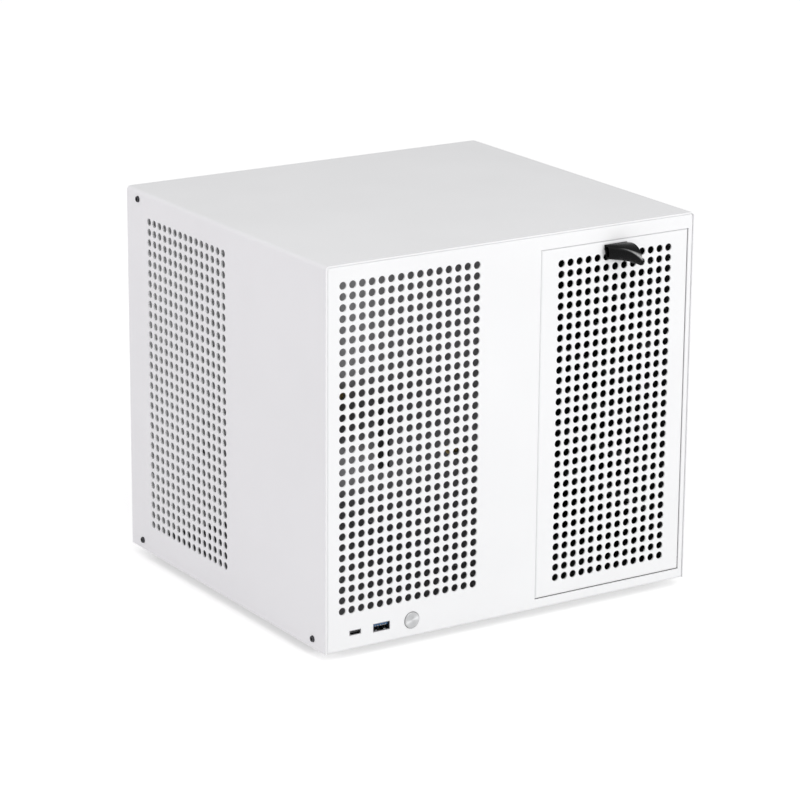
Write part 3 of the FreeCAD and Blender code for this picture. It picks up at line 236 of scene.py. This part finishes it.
def powder_coat(name, colour, roughness):
    """Sprayed and baked coat: orange-peel ripple, fine grain, and a slow drift of tone."""
    made = new_material(name, colour, roughness, Specular_IOR_Level=0.25)
    drift = noise(made, 90 * MM)
    peel = noise(made, 3.2 * MM, detail=1.0)
    grain = noise(made, 0.9 * MM, detail=3.0, roughness=0.6)
    toned(made, drift, colour, darkest=0.985, palest=1.01)
    glossed(made, grain, roughness - 0.07, roughness + 0.07)
    bumped(made, (peel, 0.04 * MM, 0.35), (grain, 0.02 * MM, 0.3))
    return made


def plated(name, colour, roughness, stretch):
    """Plated sheet or wire with fine drawing lines along one axis and a cloudy tone."""
    made = new_material(name, colour, roughness, metallic=1.0)
    clouds = noise(made, 6 * MM, detail=3.0)
    lines = noise(made, 0.6 * MM, roughness=0.6, stretch=stretch)
    toned(made, clouds, colour, darkest=0.88, palest=1.06)
    glossed(made, lines, roughness - 0.06, roughness + 0.1)
    bumped(made, (lines, 0.01 * MM, 0.25))
    return made


def moulded(name, colour, roughness, grain_size=0.7 * MM, depth=0.03 * MM):
    """Moulded plastic or rubber: spark-eroded grain, slight sheen changes and faint flow marks."""
    made = new_material(name, colour, roughness)
    flow = noise(made, 20 * MM, stretch=DOWN_THE_MOULD)
    grain = noise(made, grain_size, roughness=0.55)
    toned(made, flow, colour, darkest=0.86, palest=1.16)
    glossed(made, grain, roughness - 0.08, roughness + 0.08)
    bumped(made, (grain, depth, 0.4))
    return made


def solder_mask(name, colour, roughness):
    """Board lacquer over copper traces, which run up or across in patches and stand up a little, paler."""
    made = new_material(name, colour, roughness, Coat_Weight=0.4, Coat_Roughness=0.12)
    patches = stepped(made, cells(made, 21 * MM, output="Color"), 0.0, 1.0, *PATCH_BORDER)
    upright = stepped(made, bands(made, 1.9 * MM, "X"), 0.0, 1.0, *TRACE_FLANK)
    across = stepped(made, bands(made, 2.3 * MM, "Z"), 0.0, 1.0, *TRACE_FLANK)
    traces = mixed(made, patches, upright, across)
    feed(made, "Base Color", tinted(made, traces, colour, shade(colour, 1.9)))
    glossed(made, noise(made, 1.2 * MM), roughness - 0.06, roughness + 0.08)
    bumped(made, (traces, 0.03 * MM, 0.5))
    return made


def soft_leather(name, colour, highlight_colour, roughness):
    """Smooth synthetic leather: fine pebbles with creases between them, and a speckled pale highlight
    painted along its fold.
    """
    made = new_material(name, colour, roughness, Specular_IOR_Level=0.1)
    pebbles = cells(made, PEBBLE)
    creases = cells(made, PEBBLE, feature="DISTANCE_TO_EDGE")
    dents = noise(made, 6 * MM)
    fuzz = noise(made, 0.3 * MM)
    # Painted highlight: a pale colour laid along the fold and speckled by noise stands in for the light the
    # fold catches
    specks = noise(made, 1.2 * MM, detail=4.0, roughness=0.6)
    highlight_specks = stepped(made, specks, low=0.6, high=1.0, start=0.35, end=0.65)
    near_fold = stepped(made, attribute(made, "fold_distance"), low=1.0, high=0.0)
    highlight_on_fold = combined(made.node_tree, "MULTIPLY", near_fold, attribute(made, "fold_wear"))
    painted_highlight = combined(made.node_tree, "MULTIPLY", highlight_on_fold, highlight_specks)
    feed(made, "Base Color", tinted(made, painted_highlight, colour, highlight_colour))
    sheen = stepped(made, pebbles, low=roughness - 0.06, high=roughness + 0.08, start=0.1, end=0.7)
    feed(made, "Roughness", sheen)
    bumped(made, (dents, 0.1 * MM, 0.25), (creases, 0.05 * MM, 0.35), (fuzz, 0.01 * MM, 0.3))
    return made


def turned(name, colour, centre, roughness):
    """Turned and bead-blasted aluminium with faint rings about the button's own axis."""
    made = new_material(name, colour, roughness, metallic=1.0, Anisotropic=0.75)
    round_about = made.node_tree.nodes.new("ShaderNodeTangent")
    round_about.direction_type = "RADIAL"
    round_about.axis = "Y"
    feed(made, "Tangent", round_about.outputs["Tangent"])
    marks = rings(made, centre, 0.4 * MM)
    blasting = noise(made, 0.2 * MM)
    toned(made, noise(made, 4 * MM), colour, darkest=0.94, palest=1.04)
    feed(made, "Roughness", stepped(made, marks, roughness - 0.04, roughness + 0.08))
    bumped(made, (marks, 0.01 * MM, 0.3), (blasting, 0.01 * MM, 0.3))
    return made


def middle_of(node):
    """Middle of a node's box."""
    low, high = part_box(node)
    return (low + high) / 2


# Each slot's kind of finish, its colour and the rest of what that kind needs
SLOTS = {
    "white_powder_coat": (powder_coat, (0.87, 0.872, 0.88), 0.66),
    "black_powder_coat": (powder_coat, (0.018, 0.018, 0.02), 0.5),
    # Zinc steel darker than bare zinc: partly the metal's own grey, partly painted shade for the dim inside
    # of the case
    "zinc_steel": (plated, (0.2, 0.2, 0.205), 0.48, EVEN),
    "black_steel": (plated, (0.05, 0.05, 0.055), 0.4, EVEN),
    "brass": (plated, (0.75, 0.56, 0.26), 0.3, ALONG_Z),
    "green_board": (solder_mask, (0.012, 0.12, 0.05), 0.32),
    "black_plastic": (moulded, (0.016, 0.016, 0.017), 0.5),
    "pale_plastic": (moulded, (0.8, 0.77, 0.68), 0.45),
    "blue_plastic": (moulded, (0.009, 0.085, 0.21), 0.42),
    # The strap's second, pale colour is a highlight painted along its fold
    "strap_leather": (soft_leather, (0.004, 0.004, 0.0042), (0.6, 0.6, 0.6), 0.2),
    "socket_steel": (plated, (0.3, 0.3, 0.31), 0.26, ALONG_Y),
    "button_aluminium": (turned, (0.48, 0.485, 0.49), middle_of("power_button"), 0.34),
    "fan_plastic": (moulded, (0.02, 0.02, 0.022), 0.42),
    "chrome_wire": (plated, (0.78, 0.78, 0.79), 0.14, EVEN),
    "magnet_nickel": (plated, (0.66, 0.65, 0.62), 0.2, EVEN),
    "foot_rubber": (moulded, (0.022, 0.022, 0.022), 0.75, 0.5 * MM, 0.05 * MM),
}
FINISHES = {name: finish(name, *values) for name, (finish, *values) in SLOTS.items()}
for subpart in frame["record"]["subparts"]:
    dressed = NODES[subpart["node"]]
    dressed.data.materials.clear()
    dressed.data.materials.append(FINISHES[subpart["material_slot"]])

# Mesh building blocks


def add_piece(name, build, slot, body="case"):
    """Turns a built mesh into a piece of the scene that rides on a body."""
    mesh = bpy.data.meshes.new(name)
    bmesh.ops.recalc_face_normals(build, faces=build.faces)
    build.to_mesh(mesh)
    build.free()
    mesh.materials.append(FINISHES[slot])
    piece = bpy.data.objects.new(name, mesh)
    bpy.context.scene.collection.objects.link(piece)
    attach(piece, body)
    return piece


def join_loops(build, near, far):
    """Smooth faces between two closed loops of points."""
    for n in range(len(near)):
        after = (n + 1) % len(near)
        build.faces.new((near[n], near[after], far[after], far[n])).smooth = True


def thicken(piece, thickness):
    """Gives a sheet its thickness, half to either side, and returns the modifier."""
    thick = piece.modifiers.new("thickness", "SOLIDIFY")
    thick.thickness = thickness
    thick.offset = 0.0
    return thick


def break_edges(piece, name, width, segments):
    """Rounds a piece's sharp edges, and returns the modifier."""
    edges = piece.modifiers.new(name, "BEVEL")
    edges.width = width
    edges.segments = segments
    edges.limit_method = "ANGLE"
    return edges


def bent_strips(name, strips, thickness, slot):
    """Thin metal strips. Each is its two sides and the bent line, in depth and height, between them."""
    build = bmesh.new()
    for left, right, line in strips:
        rows = [(build.verts.new((left, y, z)), build.verts.new((right, y, z))) for y, z in line]
        for (a, b), (c, d) in zip(rows, rows[1:]):
            build.faces.new((a, b, d, c)).smooth = True
    thicken(add_piece(name, build, slot), thickness)


def strip_row(middle, places, width, line):
    """Strips of one width and line, at places measured from a middle."""
    return [(middle + place - width / 2, middle + place + width / 2, line) for place in places]


def arched(start, end, floor, rise, steps=10):
    """A line from start to end in depth that rises from a floor and comes back to it."""
    shares = [n / steps for n in range(steps + 1)]
    return [(start + (end - start) * share, floor + rise * math.sin(math.pi * share)) for share in shares]


# Pull strap

# One endless band of soft leather runs from a hem round its pin, through the slot and round a loop, which
# hangs against the door at its left edge, and reaches forward and droops at its right edge. The outlines
# are in millimetres: forward of the door's face, and up from the middle of the slot.
STRAP_HEM = [
    (-3.8, 2.0), (-5.2, 1.42), (-5.8, 0.0), (-5.2, -1.42), (-3.8, -2.0), (-2.2, -1.3), (-1.0, -0.8),
]
STRAP_LEFT = [
    (0.0, -0.8), (0.9, -1.4), (1.1, -3.0), (1.3, -4.8), (2.0, -6.4), (3.4, -6.9), (4.8, -6.2), (5.5, -4.4),
    (5.4, -2.2), (4.8, -0.1), (3.6, 1.4), (2.0, 1.9), (0.0, 0.8), (-1.0, 0.8), (-2.2, 1.3),
]
STRAP_MIDDLE = [
    (0.0, -0.8), (1.0, -1.4), (1.8, -3.2), (3.0, -5.4), (5.2, -7.4), (8.2, -8.1), (11.0, -7.0), (12.8, -4.8),
    (13.2, -2.4), (12.2, -0.3), (9.4, 1.4), (5.0, 2.4), (0.0, 0.8), (-1.0, 0.8), (-2.2, 1.3),
]
STRAP_RIGHT = [
    (0.0, -0.8), (1.4, -1.3), (3.4, -3.0), (6.0, -5.4), (8.8, -7.9), (11.6, -9.9), (14.4, -10.9),
    (16.9, -10.6), (18.4, -9.0), (18.4, -6.8), (15.4, -0.7), (8.4, 2.4), (0.0, 0.8), (-1.0, 0.8),
    (-2.2, 1.3),
]
STRAP_THICKNESS = 1.5 * MM
STRAP_EDGE = 0.45 * MM
STRAP_COLUMNS = 13
STRAP_SUBDIVISIONS = 3
# The fold's point in the whole outline, the share of the width at which the highlight painted along the fold
# starts, and that painted highlight's least and greatest width, counted in points to either side of the fold
STRAP_FOLD = len(STRAP_HEM) + 9
STRAP_HIGHLIGHT_STARTS = 0.25
STRAP_HIGHLIGHT_WIDTH = (0.22, 0.6)


def strap_outline(share):
    """The band's middle line at a share of its width: a smooth run through its left, middle and right."""
    weights = (
        (2.0 * share - 1.0) * (share - 1.0),
        4.0 * share * (1.0 - share),
        share * (2.0 * share - 1.0),
    )
    loop = [tuple(sum(weight * point[axis] for weight, point in zip(weights, points)) for axis in (0, 1))
            for points in zip(STRAP_LEFT, STRAP_MIDDLE, STRAP_RIGHT)]
    return STRAP_HEM + loop


def strap_highlight(share):
    """How strongly the highlight painted on the fold shows at a share of the band's width, and how wide it
    is.
    """
    reach = min(1.0, max(0.0, (share - STRAP_HIGHLIGHT_STARTS) / (1.0 - STRAP_HIGHLIGHT_STARTS)))
    least, most = STRAP_HIGHLIGHT_WIDTH
    return reach * reach * (3.0 - 2.0 * reach), least + (most - least) * reach * reach


def make_strap():
    """The band as columns of points across its width, each marked with its distance from the fold and the
    strength of the highlight painted there.
    """
    low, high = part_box("door_strap")
    slot_height = middle_of("strap_pin").z
    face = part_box("door_panel")[0].y
    build = bmesh.new()
    distance = build.verts.layers.float.new("fold_distance")
    highlight_layer = build.verts.layers.float.new("fold_wear")
    columns = []
    for number in range(STRAP_COLUMNS):
        share = number / (STRAP_COLUMNS - 1)
        x = low.x + (high.x - low.x) * share
        columns.append([build.verts.new((x, face - ahead * MM, slot_height + up * MM))
                        for ahead, up in strap_outline(share)])
        # Strength and width of the highlight painted along the fold
        strength, width = strap_highlight(share)
        for place, vertex in enumerate(columns[-1]):
            vertex[distance] = abs(place - STRAP_FOLD) / width
            vertex[highlight_layer] = strength
    for left, right in zip(columns, columns[1:]):
        join_loops(build, left, right)
    strap = add_piece("pull_strap", build, "strap_leather", "door")
    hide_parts("door_strap")
    smooth = strap.modifiers.new("soft", "SUBSURF")
    smooth.levels = smooth.render_levels = STRAP_SUBDIVISIONS
    thicken(strap, STRAP_THICKNESS).use_even_offset = True
    break_edges(strap, "burnished_edges", STRAP_EDGE, segments=3)


# Rubber grommet in the tray's cable slot

# Its rim grips the sheet and is given in millimetres, outward of the slot's edge and across the sheet
GROMMET_RIM = [
    (-1.0, -0.5), (-0.4, -1.2), (0.6, -1.4), (2.0, -1.2), (2.6, -0.6), (2.7, -0.05), (0.0, -0.05),
    (0.0, 1.05), (1.5, 1.05), (1.3, 1.8), (0.3, 2.0), (-0.6, 1.7), (-1.0, 1.2),
]
GROMMET_CORNER = 1.5 * MM
TRAY_SHEET = 1.0 * MM
# Petals close the slot round the cables: rows of them, the cuts between them and their roots in the rim
PETAL_ROWS = 6
PETAL_CUT = 0.12 * MM
PETAL_ROOT = 0.6 * MM
PETAL_THICKNESS = 0.8 * MM


def rounded_loop(low, high, outward, steps=6):
    """Points in depth and height round a rectangle with rounded corners, moved outward."""
    points = []
    radius = GROMMET_CORNER + outward
    near_y, near_z = (edge + GROMMET_CORNER for edge in low)
    far_y, far_z = (edge - GROMMET_CORNER for edge in high)
    centres = [(far_y, far_z), (near_y, far_z), (near_y, near_z), (far_y, near_z)]
    for quarter, (y, z) in enumerate(centres):
        for n in range(steps + 1):
            turn = math.tau / 4 * (quarter + n / steps)
            points.append((y + radius * math.cos(turn), z + radius * math.sin(turn)))
    return points


def add_petal(build, x, start, end, bottom, top):
    """A flat block between two places in depth and two in height."""
    petal = bmesh.ops.create_cube(build, size=1.0)["verts"]
    bmesh.ops.scale(build, verts=petal, vec=(PETAL_THICKNESS, end - start, top - bottom))
    bmesh.ops.translate(build, verts=petal, vec=(x, (start + end) / 2, (bottom + top) / 2))


def make_grommet():
    """The rim as a closed run of loops round the slot, and two petals in each row."""
    opening = next(item for item in frame["record"]["physics"]["openings"] if item["name"] == "cable_slot")
    (_, low_y, low_z), (_, high_y, high_z) = opening["box_m"]
    sheet_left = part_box("motherboard_tray")[1].x - TRAY_SHEET
    build = bmesh.new()
    loops = [[build.verts.new((sheet_left + across * MM, y, z))
              for y, z in rounded_loop((low_y, low_z), (high_y, high_z), outward * MM)]
             for outward, across in GROMMET_RIM]
    for near, far in zip(loops, loops[1:] + loops[:1]):
        join_loops(build, near, far)
    middle = (low_y + high_y) / 2
    step = (high_z - low_z) / PETAL_ROWS
    sheet_middle = sheet_left + TRAY_SHEET / 2
    for row in range(PETAL_ROWS):
        bottom = low_z + step * row + PETAL_CUT
        top = low_z + step * (row + 1) - PETAL_CUT
        add_petal(build, sheet_middle, low_y + PETAL_ROOT, middle - PETAL_CUT, bottom, top)
        add_petal(build, sheet_middle, middle + PETAL_CUT, high_y - PETAL_ROOT, bottom, top)
    add_piece("cable_slot_grommet", build, "foot_rubber")


# USB-A socket's springs and contacts

# Springs bow up from the shell's floor, contacts bow down under the tongue, and pads bend round its tip.
# Places are measured from the socket's middle.
SPRING_PLACES = (-3.4 * MM, 3.4 * MM)
SPRING_WIDTH = 2.2 * MM
SPRING_START = 0.8 * MM
SPRING_END = 8.0 * MM
SPRING_FLOOR = 0.42 * MM
SPRING_RISE = 0.8 * MM
SPRING_THICKNESS = 0.2 * MM
TONGUE_DEPTH = 2.05 * MM
CONTACT_PLACES = (-3.5 * MM, -1.0 * MM, 1.0 * MM, 3.5 * MM)
CONTACT_WIDTH = 1.1 * MM
CONTACT_START = 0.25 * MM
CONTACT_LENGTH = 6.5 * MM
CONTACT_GAP = 0.1 * MM
CONTACT_BOW = 0.35 * MM
CONTACT_THICKNESS = 0.16 * MM
PAD_PLACES = (-4.0 * MM, -2.0 * MM, 0.0, 2.0 * MM, 4.0 * MM)
PAD_WIDTH = 1.0 * MM
PAD_AHEAD = 0.08 * MM
PAD_RISE = 0.95 * MM
PAD_RUN = 2.0 * MM


def make_port_contacts():
    """Places the springs from the shell's box, and the contacts and pads from the insulator's."""
    shell_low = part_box("usb_a_shell")[0]
    middle = middle_of("usb_a_shell").x
    mouth = shell_low.y
    spring = arched(mouth + SPRING_START, mouth + SPRING_END, shell_low.z + SPRING_FLOOR, SPRING_RISE)
    springs = strip_row(middle, SPRING_PLACES, SPRING_WIDTH, spring)
    bent_strips("usb_a_springs", springs, SPRING_THICKNESS, "socket_steel")
    block_low, block_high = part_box("usb_a_insulator")
    level = block_high.z - TONGUE_DEPTH - CONTACT_GAP
    start = block_low.y + CONTACT_START
    contact = arched(start, start + CONTACT_LENGTH, level, -CONTACT_BOW)
    contacts = strip_row(middle, CONTACT_PLACES, CONTACT_WIDTH, contact)
    bent_strips("usb_a_contacts", contacts, CONTACT_THICKNESS, "brass")
    tip = block_low.y - PAD_AHEAD
    pad = [(tip, level + PAD_RISE), (tip, level), (tip + PAD_RUN, level)]
    pads = strip_row(middle, PAD_PLACES, PAD_WIDTH, pad)
    bent_strips("usb_a_tip_contacts", pads, CONTACT_THICKNESS, "socket_steel")


# Contacts of the drive sockets

DRIVE_SOCKETS = 8
DRIVE_SOCKET_HEIGHT = 6.0 * MM
# Each group's first place, counted in pitches, and its number of contacts
PIN_GROUPS = ((0, 7), (9, 15))
PIN_FIRST = 4.2 * MM
PIN_PITCH = 1.27 * MM
PIN_WIDTH = 0.64 * MM
PIN_START = 0.4 * MM
PIN_END = 5.0 * MM
PIN_LEVEL = 3.12 * MM
PIN_RISE = 0.35 * MM
PIN_STEPS = 6
PIN_THICKNESS = 0.15 * MM


def make_drive_contacts():
    """Rows of seven and fifteen contacts along the lower side of each drive socket's slit."""
    low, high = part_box("drive_sockets")
    spacing = (high.z - low.z - DRIVE_SOCKET_HEIGHT) / (DRIVE_SOCKETS - 1)
    places = [PIN_PITCH * (first + n) for first, count in PIN_GROUPS for n in range(count)]
    strips = []
    for number in range(DRIVE_SOCKETS):
        level = low.z + spacing * number + PIN_LEVEL
        line = arched(low.y + PIN_START, low.y + PIN_END, level, PIN_RISE, PIN_STEPS)
        strips += strip_row(low.x + PIN_FIRST, places, PIN_WIDTH, line)
    bent_strips("drive_socket_contacts", strips, PIN_THICKNESS, "brass")


# Bare labels on the fans' motors

# Radius and height off the frame, in millimetres, from the label's middle to its pressed-down edge
LABEL_PROFILE = [
    (0.0, 0.1), (4.0, 0.1), (4.4, 0.04), (5.2, 0.04), (5.6, 0.1), (16.2, 0.1), (16.8, 0.14), (17.4, 0.14),
    (17.8, 0.06), (18.0, 0.01),
]
LABEL_STEPS = 72


def make_fan_label(name):
    """A round label on the back of a fan's motor."""
    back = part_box(f"fan_frame_{name}")[1].y
    centre = middle_of(f"fan_frame_{name}")
    turns = [math.tau * n / LABEL_STEPS for n in range(LABEL_STEPS)]
    build = bmesh.new()
    circles = []
    for radius, height in LABEL_PROFILE[1:]:
        y = back + height * MM
        spokes = [(radius * MM * math.cos(turn), radius * MM * math.sin(turn)) for turn in turns]
        circles.append([build.verts.new((centre.x + x, y, centre.z + z)) for x, z in spokes])
    hub = build.verts.new((centre.x, back + LABEL_PROFILE[0][1] * MM, centre.z))
    first = circles[0]
    for n in range(LABEL_STEPS):
        build.faces.new((hub, first[n], first[(n + 1) % LABEL_STEPS])).smooth = True
    for inner, outer in zip(circles, circles[1:]):
        join_loops(build, outer, inner)
    add_piece(f"fan_label_{name}", build, "pale_plastic")


make_strap()
make_grommet()
make_port_contacts()
make_drive_contacts()
for fan in ("upper", "lower"):
    make_fan_label(fan)

# Broken edges on the small pieces, which catch the light

WELD_REACH = 0.01 * MM
SHARP_ANGLE = math.radians(40.0)
BROKEN_EDGES = {
    0.5 * MM: ["fan_frame_upper", "fan_frame_lower", "power_switch_housing"],
    0.25 * MM: ["drive_sockets", "backplane_power_sockets", "cage_wall_left", "cage_wall_right"],
    0.12 * MM: ["power_button", "cover_screws", "fan_screws", "slot_cover_screws", "usb_a_insulator"],
}
for width, names in BROKEN_EDGES.items():
    for name in names:
        NODES[name].modifiers.new("joined_faces", "WELD").merge_threshold = WELD_REACH
        edges = break_edges(NODES[name], "broken_edges", width, segments=2)
        edges.angle_limit = SHARP_ANGLE
        edges.use_clamp_overlap = True

# Stage: pale floor that runs into a white surround

FLOOR_SIZE = 6.0
FLOOR_COLOUR = (0.8, 0.8, 0.8)
FLOOR_ROUGHNESS = 0.9
FLOOR_GLOW = 0.47
WORLD_LIGHT = 0.62
WORLD_WHITE = 1.0
CASE_MIDDLE = (Vector(cad_low) + Vector(cad_high)) / 2


def direct_rays(tree):
    """1 for rays from the camera, from a mirror or through glass, and 0 for the rest."""
    path = tree.nodes.new("ShaderNodeLightPath")
    picked = path.outputs["Is Camera Ray"]
    for kind in ("Is Glossy Ray", "Is Transmission Ray"):
        picked = combined(tree, "MAXIMUM", picked, path.outputs[kind])
    return picked


def make_floor():
    """A square floor that takes light and shadow, and glows a little for direct rays."""
    mesh = bpy.data.meshes.new("floor")
    half = FLOOR_SIZE / 2
    corners = [(-half, -half, 0), (half, -half, 0), (half, half, 0), (-half, half, 0)]
    mesh.from_pydata(corners, [], [(0, 1, 2, 3)])
    floor = bpy.data.objects.new("floor", mesh)
    bpy.context.scene.collection.objects.link(floor)
    made = new_material("floor", FLOOR_COLOUR, FLOOR_ROUGHNESS)
    nodes, links = made.node_tree.nodes, made.node_tree.links
    glow = nodes.new("ShaderNodeEmission")
    glow.inputs["Color"].default_value = (*WHITE, 1.0)
    links.new(stepped(made, direct_rays(made.node_tree), 0.0, FLOOR_GLOW), glow.inputs["Strength"])
    both = nodes.new("ShaderNodeAddShader")
    links.new(nodes["Principled BSDF"].outputs[0], both.inputs[0])
    links.new(glow.outputs[0], both.inputs[1])
    links.new(both.outputs[0], nodes["Material Output"].inputs["Surface"])
    mesh.materials.append(made)


def make_world():
    """Even light all round; what the camera and shiny pieces see of it is plain white."""
    world = bpy.data.worlds.new("studio")
    world.use_nodes = True
    nodes, links = world.node_tree.nodes, world.node_tree.links
    light = nodes["Background"]
    white = nodes.new("ShaderNodeBackground")
    for background, strength in ((light, WORLD_LIGHT), (white, WORLD_WHITE)):
        background.inputs["Color"].default_value = (*WHITE, 1.0)
        background.inputs["Strength"].default_value = strength
    pick = nodes.new("ShaderNodeMixShader")
    links.new(direct_rays(world.node_tree), pick.inputs["Fac"])
    links.new(light.outputs[0], pick.inputs[1])
    links.new(white.outputs[0], pick.inputs[2])
    links.new(pick.outputs[0], nodes["World Output"].inputs["Surface"])
    bpy.context.scene.world = world


def softbox(name, place, width, height, power, colour):
    """A rectangular lamp that faces the middle of the case."""
    lamp = bpy.data.lights.new(name, "AREA")
    lamp.shape = "RECTANGLE"
    lamp.size = width
    lamp.size_y = height
    lamp.energy = power
    lamp.color = colour
    holder = bpy.data.objects.new(name, lamp)
    holder.location = place
    holder.rotation_euler = (CASE_MIDDLE - Vector(place)).to_track_quat("-Z", "Y").to_euler()
    bpy.context.scene.collection.objects.link(holder)


# Each lamp's place, width and height in metres, its power in watts and its colour
SOFTBOXES = {
    "front_softbox": ((0.7, -2.3, 0.55), 0.5, 0.5, 17.2, WHITE),
    "side_softbox": ((-2.4, 0.5, 0.6), 1.6, 1.2, 12.0, (0.985, 0.92, 1.0)),
    "top_softbox": ((-0.2, -0.8, 1.3), 1.0, 1.0, 3.8, WHITE),
}
make_floor()
make_world()
for name, values in SOFTBOXES.items():
    softbox(name, *values)

# Camera at the photograph's viewpoint, solved from the hole grids and corners

SENSOR_WIDTH = 36.0
LENS = 152.3
CAMERA_PLACE = (-1.25224, -1.93771, 0.81796)
CAMERA_TURN = (73.3672, -0.3873, -32.5309)
camera = bpy.data.objects.new("camera", bpy.data.cameras.new("camera"))
camera.data.sensor_width = SENSOR_WIDTH
camera.data.lens = LENS
camera.location = CAMERA_PLACE
camera.rotation_euler = [math.radians(angle) for angle in CAMERA_TURN]
bpy.context.scene.collection.objects.link(camera)
bpy.context.scene.camera = camera
bpy.context.scene.view_settings.view_transform = "Standard"
